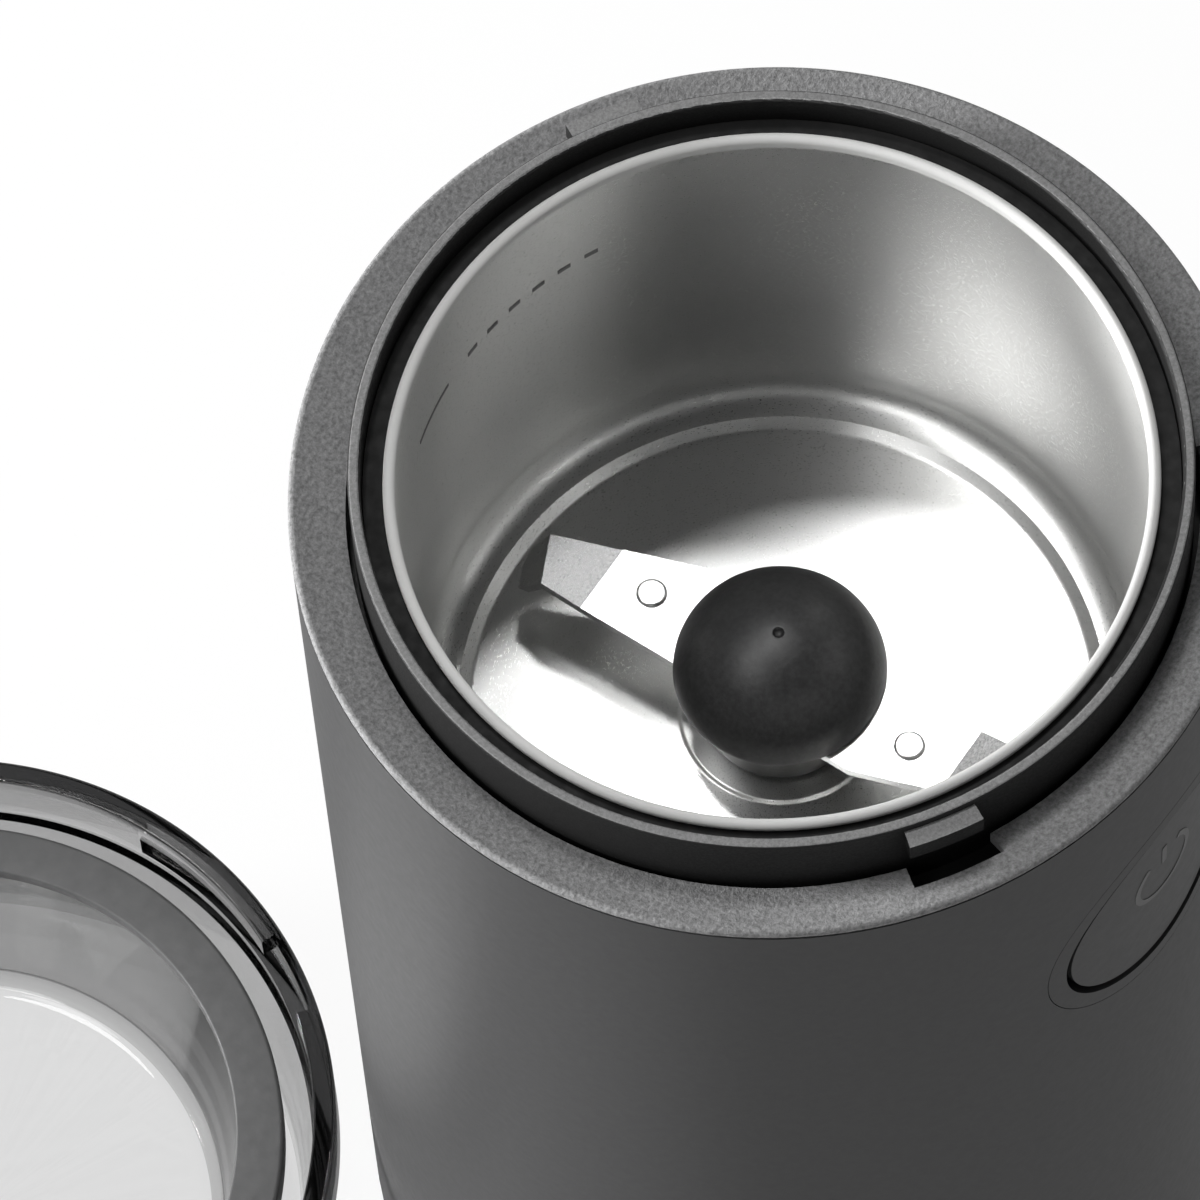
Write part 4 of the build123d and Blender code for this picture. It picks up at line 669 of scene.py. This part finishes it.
def coil_tree():
    """Winds a round wire with closed ends round a vertical axis, in place of the shape that it is given."""
    tree, given = start_tree("wound_spring_wire", ("Turns", "Float"), ("Coil Radius", "Float"),
                             ("Wire Radius", "Float"), ("Rise", "Float"))
    helix = tree.nodes.new("GeometryNodeCurveSpiral")
    helix.inputs["Resolution"].default_value = 36
    wire = tree.nodes.new("GeometryNodeCurvePrimitiveCircle")
    wire.inputs["Resolution"].default_value = 12
    swept = tree.nodes.new("GeometryNodeCurveToMesh")
    swept.inputs["Fill Caps"].default_value = True
    return end_tree(
        tree, given, swept.outputs[0],
        (given["Turns"], helix.inputs["Rotations"]),
        (given["Coil Radius"], helix.inputs["Start Radius"]),
        (given["Coil Radius"], helix.inputs["End Radius"]),
        (given["Rise"], helix.inputs["Height"]),
        (given["Wire Radius"], wire.inputs["Radius"]),
        (helix.outputs[0], swept.inputs["Curve"]),
        (wire.outputs[0], swept.inputs["Profile Curve"]),
    )


COPIES = copies_tree()
COIL = coil_tree()


def grown(shape, tree, **wanted):
    """Runs a tree on a shape; an input's name is its label in small letters, with _ for each space."""
    grower = shape.modifiers.new("grower", "NODES")
    grower.node_group = tree
    for socket in tree.interface.items_tree:
        key = socket.name.replace(" ", "_").lower()
        if socket.in_out == "INPUT" and key in wanted:
            grower[socket.identifier] = wanted[key]
    return settled(shape)


def copied_round(shape, copies, first, step, radius, slot):
    """Copies of a shape that stands at the axis, on a circle of this radius, as one piece."""
    return grown(shape, COPIES, copies=copies, first_turn=first, step=step, circle_radius=radius * MM,
                 finish=FINISHES[slot])


def make_spring(name, node, wire, turns, turned, fixed, pressed):
    """A coil spring, turned about X from upright, between its fixed end and the end that its presser moves."""
    low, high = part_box(node)
    start, end = Vector(fixed), Vector(pressed)
    length = (end - start).length
    width = min(high.x - low.x, high.z - low.z) / MM if turned else (high.x - low.x) / MM
    blank = prism(name, [(0, 0), (1, 0), (0, 1)], 0, 1)
    coil = grown(blank, COIL, turns=turns, wire_radius=wire * MM, coil_radius=(width / 2 - wire - 0.02) * MM,
                 rise=(length - 2 * wire - 0.02) * MM, finish=FINISHES["spring_steel"])
    stand = Matrix.Translation(start * MM) @ Matrix.Rotation(math.radians(turned), 4, "X")
    coil.data.transform(stand @ Matrix.Translation((0, 0, (wire + 0.01) * MM)))
    spring = joined(name, coil)
    spring.data.materials.append(FINISHES["spring_steel"])
    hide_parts(node)
    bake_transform(spring)


def make_springs():
    """The button's spring lies along Y behind it, and the interlock pin's stands under it."""
    low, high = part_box("button_spring")
    middle_z = (low.z + high.z) / 2 / MM
    make_spring("button_return_spring", "button_spring", wire=0.3, turns=2.5, turned=90.0,
                fixed=(0, high.y / MM, middle_z), pressed=(0, low.y / MM, middle_z))
    low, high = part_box("interlock_spring")
    middle = ((low.x + high.x) / 2 / MM, (low.y + high.y) / 2 / MM)
    make_spring("interlock_return_spring", "interlock_spring", wire=0.2, turns=7.0, turned=0.0,
                fixed=(*middle, low.z / MM), pressed=(*middle, high.z / MM))


def pan_screw(name, seat, length, shank=1.5, thread=None):
    """A cross head screw that points up from its seat, with this length of rolled thread up to its tip."""
    tip_z = seat + length
    start = tip_z - (thread or length - 0.6)
    outline = [(0, seat - HEAD_HEIGHT), (1.5, seat - HEAD_HEIGHT), (2.2, seat - 1.6), (2.52, seat - 1.15),
               (2.6, seat - 0.6), (2.6, seat), (shank - 0.05, seat), (shank - 0.05, start)]
    for turn in range(int((tip_z - 0.8 - start) / THREAD_PITCH)):
        root = start + turn * THREAD_PITCH + 0.1
        outline += [(shank - 0.3, root), (shank, root + 0.3)]
    outline += [(shank - 0.3, tip_z - 0.7), (shank - 0.6, tip_z), (0, tip_z)]
    slots = []
    for across, along in ((0.28, 1.5), (1.5, 0.28)):
        corners = [(-across, -along), (across, -along), (across, along), (-across, along)]
        slots.append(prism("cutter", corners, seat - 2.4, seat - 1.0))
    return cut_out(lathe(name, outline, steps=24), slots)


def make_screws():
    """Three circles of short screws, and two long motor screws with hexagon nuts."""
    cushion_low, cushion_high, _ = sizes_mm("cushion_screws")
    cushion_length = cushion_high - cushion_low - HEAD_HEIGHT
    for name, node, length, circle in (
        ("base_screw_set", "base_screws", SHORT_SCREW, BASE_SCREW_CIRCLE),
        ("carrier_screw_set", "carrier_screws", SHORT_SCREW, CARRIER_SCREW_CIRCLE),
        ("cushion_screw_set", "cushion_screws", cushion_length, CUSHION_SCREW_CIRCLE),
    ):
        screw = pan_screw(name, sizes_mm(node)[0] + HEAD_HEIGHT, length)
        screws = copied_round(screw, 3, SCREW_AZ, 120.0, circle, "screw_steel")
        add_piece(screws, "body", "screw_steel", node)
    low, high, _ = sizes_mm("motor_screws")
    nut_z = high - NUT_HEIGHT
    nut = lathe("nut", [(1.55, nut_z), (2.3, nut_z), (2.6, nut_z + 0.3), (2.6, high - 0.3), (2.3, high),
                        (1.55, high)], steps=6)
    screw = pan_screw("screw", low + HEAD_HEIGHT, high - low - HEAD_HEIGHT, shank=1.6, thread=14.0)
    pair = joined("motor_screw_set", screw, nut)
    pair = copied_round(pair, 2, MOTOR_SCREW_AZ, 180.0, MOTOR_SCREW_CIRCLE, "screw_steel")
    add_piece(pair, "body", "screw_steel", "motor_screws")


def make_feet():
    """Round rubber feet with a rounded edge and a shallow ring groove underneath."""
    _, top, _ = sizes_mm("rubber_feet")
    outline = eased([(0, 0.35, 0), (1.9, 0.35, 0.2), (2.2, 0, 0.15), (3.1, 0, 0.15), (3.3, 0.4, 0.1),
                     (3.7, 0.4, 0.1), (3.9, 0, 0.15), (5.0, 0, 0.7), (5.0, top, 0.1), (0, top, 0)], 4)
    foot = lathe("foot_set", outline, steps=64)
    feet = copied_round(foot, 3, FOOT_AZ, 120.0, FOOT_CIRCLE, "foot_rubber")
    add_piece(feet, "body", "foot_rubber", "rubber_feet")


def make_fan():
    """A moulded disc with a hub, and blades that curve back from the hub."""
    base, top, outer = sizes_mm("cooling_fan")
    floor = base + 1.2
    outline = eased([(ROTOR_BORE, base, 0), (7.2, base, 0), (outer - 0.1, base, 0.3),
                     (outer - 0.1, floor, 0.4), (7.4, floor, 0.5), (6.9, top, 0.4), (ROTOR_BORE, top, 0)], 3)
    disc = lathe("fan_disc", outline, steps=144)
    blades, root_r, swept_back, steps = 14, 6.6, -34.0, 8
    line = []
    for step in range(steps + 1):
        share = step / steps
        radius = root_r + (outer - 1.0 - root_r) * share
        turn = math.radians(swept_back * share ** 1.5)
        line.append((radius * math.cos(turn), radius * math.sin(turn)))
    blade = prism("fan_blades", stroke(line, 0.9), base + 0.6, top)
    ring = copied_round(blade, blades, 0.0, 360.0 / blades, 0.0, "inner_plastic")
    add_piece(ring, "rotor", "inner_plastic", "cooling_fan")
    add_piece(disc, "rotor", "inner_plastic")


def make_commutator():
    """Copper bars side by side round a dark moulded sleeve."""
    base, top, outer = sizes_mm("commutator")
    bars, half, core = 12, 13.2, outer - 1.0
    sleeve = eased([(ROTOR_BORE, base, 0), (core, base, 0.2), (core, top, 0.2), (ROTOR_BORE, top, 0)], 3)
    section = arc((0, 0), outer, -half, half, 6) + arc((0, 0), core - 0.3, half, -half, 6)
    bar = prism("commutator_bars", section, base + 0.3, top - 0.3)
    ring = copied_round(bar, bars, 15.0, 360.0 / bars, 0.0, "copper")
    add_piece(ring, "rotor", "copper", "commutator")
    add_piece(lathe("commutator_sleeve", sleeve, steps=96), "rotor", "switch_plastic")


# Printed marks
def wrapped_strip(name, outlines, radius, thickness):
    """Thin shapes, drawn in (degrees, height), on a round wall; a negative thickness goes inwards."""
    build = bmesh.new()
    for outline in outlines:
        layers = []
        for r in (radius * MM, (radius + thickness) * MM):
            turns = [(math.radians(az), z * MM) for az, z in outline]
            layers.append([build.verts.new((r * math.cos(az), r * math.sin(az), z)) for az, z in turns])
        for k in range(len(outline) // 2 - 1):
            for layer in layers:
                build.faces.new([layer[i] for i in (k, k + 1, -k - 2, -k - 1)])
        for k in range(len(outline)):
            after = (k + 1) % len(outline)
            build.faces.new((layers[0][k], layers[0][after], layers[1][after], layers[1][k]))
    return finished_mesh(name, build)


def make_power_mark():
    """Open ring with a short bar through its gap, printed on the button above its middle."""
    radius = -BUTTON_LOW.y / MM
    mark_z = (BUTTON_HIGH.z - BUTTON_HIGH.x) / MM + 3.5
    ring = arc((0, 0), 4.2, 125, 415, 48)
    bar = [(0, 1.6), (0, 3.2), (0, 5.0)]
    outlines = []
    for points in (ring, bar):
        outlines.append([(-90 + math.degrees(x / radius), mark_z + z) for x, z in stroke(points, 0.75)])
    add_piece(wrapped_strip("power_mark", outlines, radius - 0.01, 0.07), "push_button", "mark_paint")


def make_level_marks():
    """A level line and a row of short ticks, printed inside the bowl."""

    def bar(start, end, high):
        steps = max(2, int(abs(end - start)))
        lower = [(start + (end - start) * k / steps, LEVEL_Z) for k in range(steps + 1)]
        return lower + [(az, high) for az, z in lower[::-1]]

    line = wrapped_strip("level_line", [bar(98.0, 109.0, LEVEL_Z + 0.5)], BOWL_R + 0.01, -0.06)
    add_piece(line, "body", "mark_paint")
    tick = wrapped_strip("level_ticks", [bar(-1.2, 1.2, LEVEL_Z + 0.7)], BOWL_R + 0.01, -0.06)
    ticks, first_az, apart = 6, 66.0, 5.0
    add_piece(copied_round(tick, ticks, first_az, apart, 0.0, "mark_paint"), "body", "mark_paint")


# Light, floor and camera
def area_light(name, azimuth, height_angle, size, power):
    """A round lamp of this size in metres and power in watts, which looks at the bowl from a direction."""
    turn, rise = math.radians(azimuth), math.radians(height_angle)
    away = Vector((math.cos(turn) * math.cos(rise), math.sin(turn) * math.cos(rise), math.sin(rise)))
    lamp = bpy.data.lights.new(name, "AREA")
    lamp.shape = "DISK"
    lamp.size = size
    lamp.energy = power
    holder = bpy.data.objects.new(name, lamp)
    holder.location = Vector((0, 0, RING_HIGH.z)) + away * LAMP_DISTANCE
    holder.rotation_mode = "QUATERNION"
    holder.rotation_quaternion = (-away).to_track_quat("-Z", "Y")
    bpy.context.scene.collection.objects.link(holder)


def set_world():
    """White to the eye; to metal and glass bright round the horizon and dark overhead; a weak even fill."""
    world = bpy.data.worlds.new("studio")
    bpy.context.scene.world = world
    world.use_nodes = True
    tree = world.node_tree
    room = tree.nodes["Background"]
    room.inputs["Color"].default_value = (1, 1, 1, 1)
    ray = tree.nodes.new("ShaderNodeLightPath").outputs
    coords = tree.nodes.new("ShaderNodeTexCoord").outputs["Generated"]
    parts = tree.nodes.new("ShaderNodeSeparateXYZ")
    tree.links.new(coords, parts.inputs[0])
    sky = tree.nodes.new("ShaderNodeMapRange")
    sky.interpolation_type = "SMOOTHSTEP"
    for socket, value in (("From Min", 0.15), ("From Max", 0.8), ("To Min", HORIZON), ("To Max", OVERHEAD)):
        sky.inputs[socket].default_value = value
    tree.links.new(parts.outputs["Z"], sky.inputs["Value"])
    bent = tree_math(tree, "MAXIMUM", ray["Is Glossy Ray"], ray["Is Transmission Ray"])
    mirrored = tree_math(tree, "MULTIPLY", bent, tree_math(tree, "SUBTRACT", sky.outputs[0], FILL))
    plain = tree_math(tree, "MULTIPLY", ray["Is Camera Ray"], 1.0 - FILL)
    level = tree_math(tree, "ADD", tree_math(tree, "ADD", mirrored, plain), FILL)
    tree.links.new(level, room.inputs["Strength"])


def make_floor():
    """Pale floor: mostly its own glow to the eye, so that shadows on it stay faint, and dim in metal."""
    mesh = bpy.data.meshes.new("floor")
    corners = [(x * FLOOR_HALF, y * FLOOR_HALF, 0) for x, y in ((-1, -1), (1, -1), (1, 1), (-1, 1))]
    mesh.from_pydata(corners, [], [(0, 1, 2, 3)])
    floor = bpy.data.objects.new("floor", mesh)
    bpy.context.scene.collection.objects.link(floor)
    finish = Finish("pale_floor", (0.9, 0.9, 0.9), 0.9)
    tree = finish.tree
    glow = finish.node("ShaderNodeEmission")
    mix = finish.node("ShaderNodeMixShader")
    ray = finish.node("ShaderNodeLightPath").outputs
    eye = tree_math(tree, "MAXIMUM", ray["Is Camera Ray"], ray["Is Transmission Ray"])
    eye = tree_math(tree, "MULTIPLY", eye, FLOOR_GLOW)
    mirror = tree_math(tree, "GREATER_THAN", ray["Is Glossy Ray"], ray["Is Transmission Ray"])
    finish.link(tree_math(tree, "MAXIMUM", eye, mirror), mix.inputs[0])
    dimmed = tree_math(tree, "MULTIPLY", mirror, 1.0 - FLOOR_MIRRORED)
    finish.link(tree_math(tree, "SUBTRACT", 1.0, dimmed), glow.inputs["Strength"])
    finish.link(finish.shader.outputs[0], mix.inputs[1])
    finish.link(glow.outputs[0], mix.inputs[2])
    finish.link(mix.outputs[0], tree.nodes["Material Output"].inputs["Surface"])
    mesh.materials.append(finish.material)


def make_camera():
    """Looks down into the bowl from behind and to the left of the push button."""
    turn = Matrix.Rotation(math.radians(CAMERA_AZ + 90), 3, "Z")
    height = math.radians(CAMERA_HEIGHT_ANGLE)
    place = Vector((0, -math.cos(height), math.sin(height))) * CAMERA_DISTANCE
    pan = math.radians(AIM_PAN)
    tilt = math.radians(CAMERA_HEIGHT_ANGLE + AIM_TILT)
    roll = math.radians(CAMERA_ROLL)
    ahead = Vector((math.sin(pan) * math.cos(tilt), math.cos(pan) * math.cos(tilt), -math.sin(tilt)))
    level = Vector((math.cos(pan), -math.sin(pan), 0))
    down = ahead.cross(level)
    right = level * math.cos(roll) + down * math.sin(roll)
    below = down * math.cos(roll) - level * math.sin(roll)
    data = bpy.data.cameras.new("camera")
    data.sensor_width = SENSOR
    data.lens = LENS
    data.clip_start, data.clip_end = 0.05, 20.0
    camera = bpy.data.objects.new("camera", data)
    axes = Matrix((turn @ right, turn @ -below, turn @ -ahead)).transposed()
    camera.matrix_world = Matrix.Translation(turn @ place + Vector((0, 0, RING_HIGH.z))) @ axes.to_4x4()
    bpy.context.scene.collection.objects.link(camera)
    bpy.context.scene.camera = camera


def light_scene():
    """Small lamps high behind the bowl throw the blade's shadow; broad ones fill from above and the left."""
    area_light("key_light", 61.0, 70.5, 0.15, 3.1)
    area_light("right_light", 29.0, 68.0, 0.12, 1.3)
    area_light("overhead_light", 122.0, 66.0, 0.4, 2.7)
    area_light("left_light", 154.0, 55.0, 0.4, 1.2)
    area_light("near_light", 180.0, 40.0, 0.4, 1.5)
    area_light("side_light", 124.0, 8.5, 0.3, 25.0)


bpy.context.scene.view_settings.view_transform = "Standard"
dress_nodes()
make_bowl()
make_blade_cap()
make_lid()
make_springs()
make_screws()
make_feet()
make_fan()
make_commutator()
make_power_mark()
make_level_marks()
set_world()
make_floor()
light_scene()
make_camera()
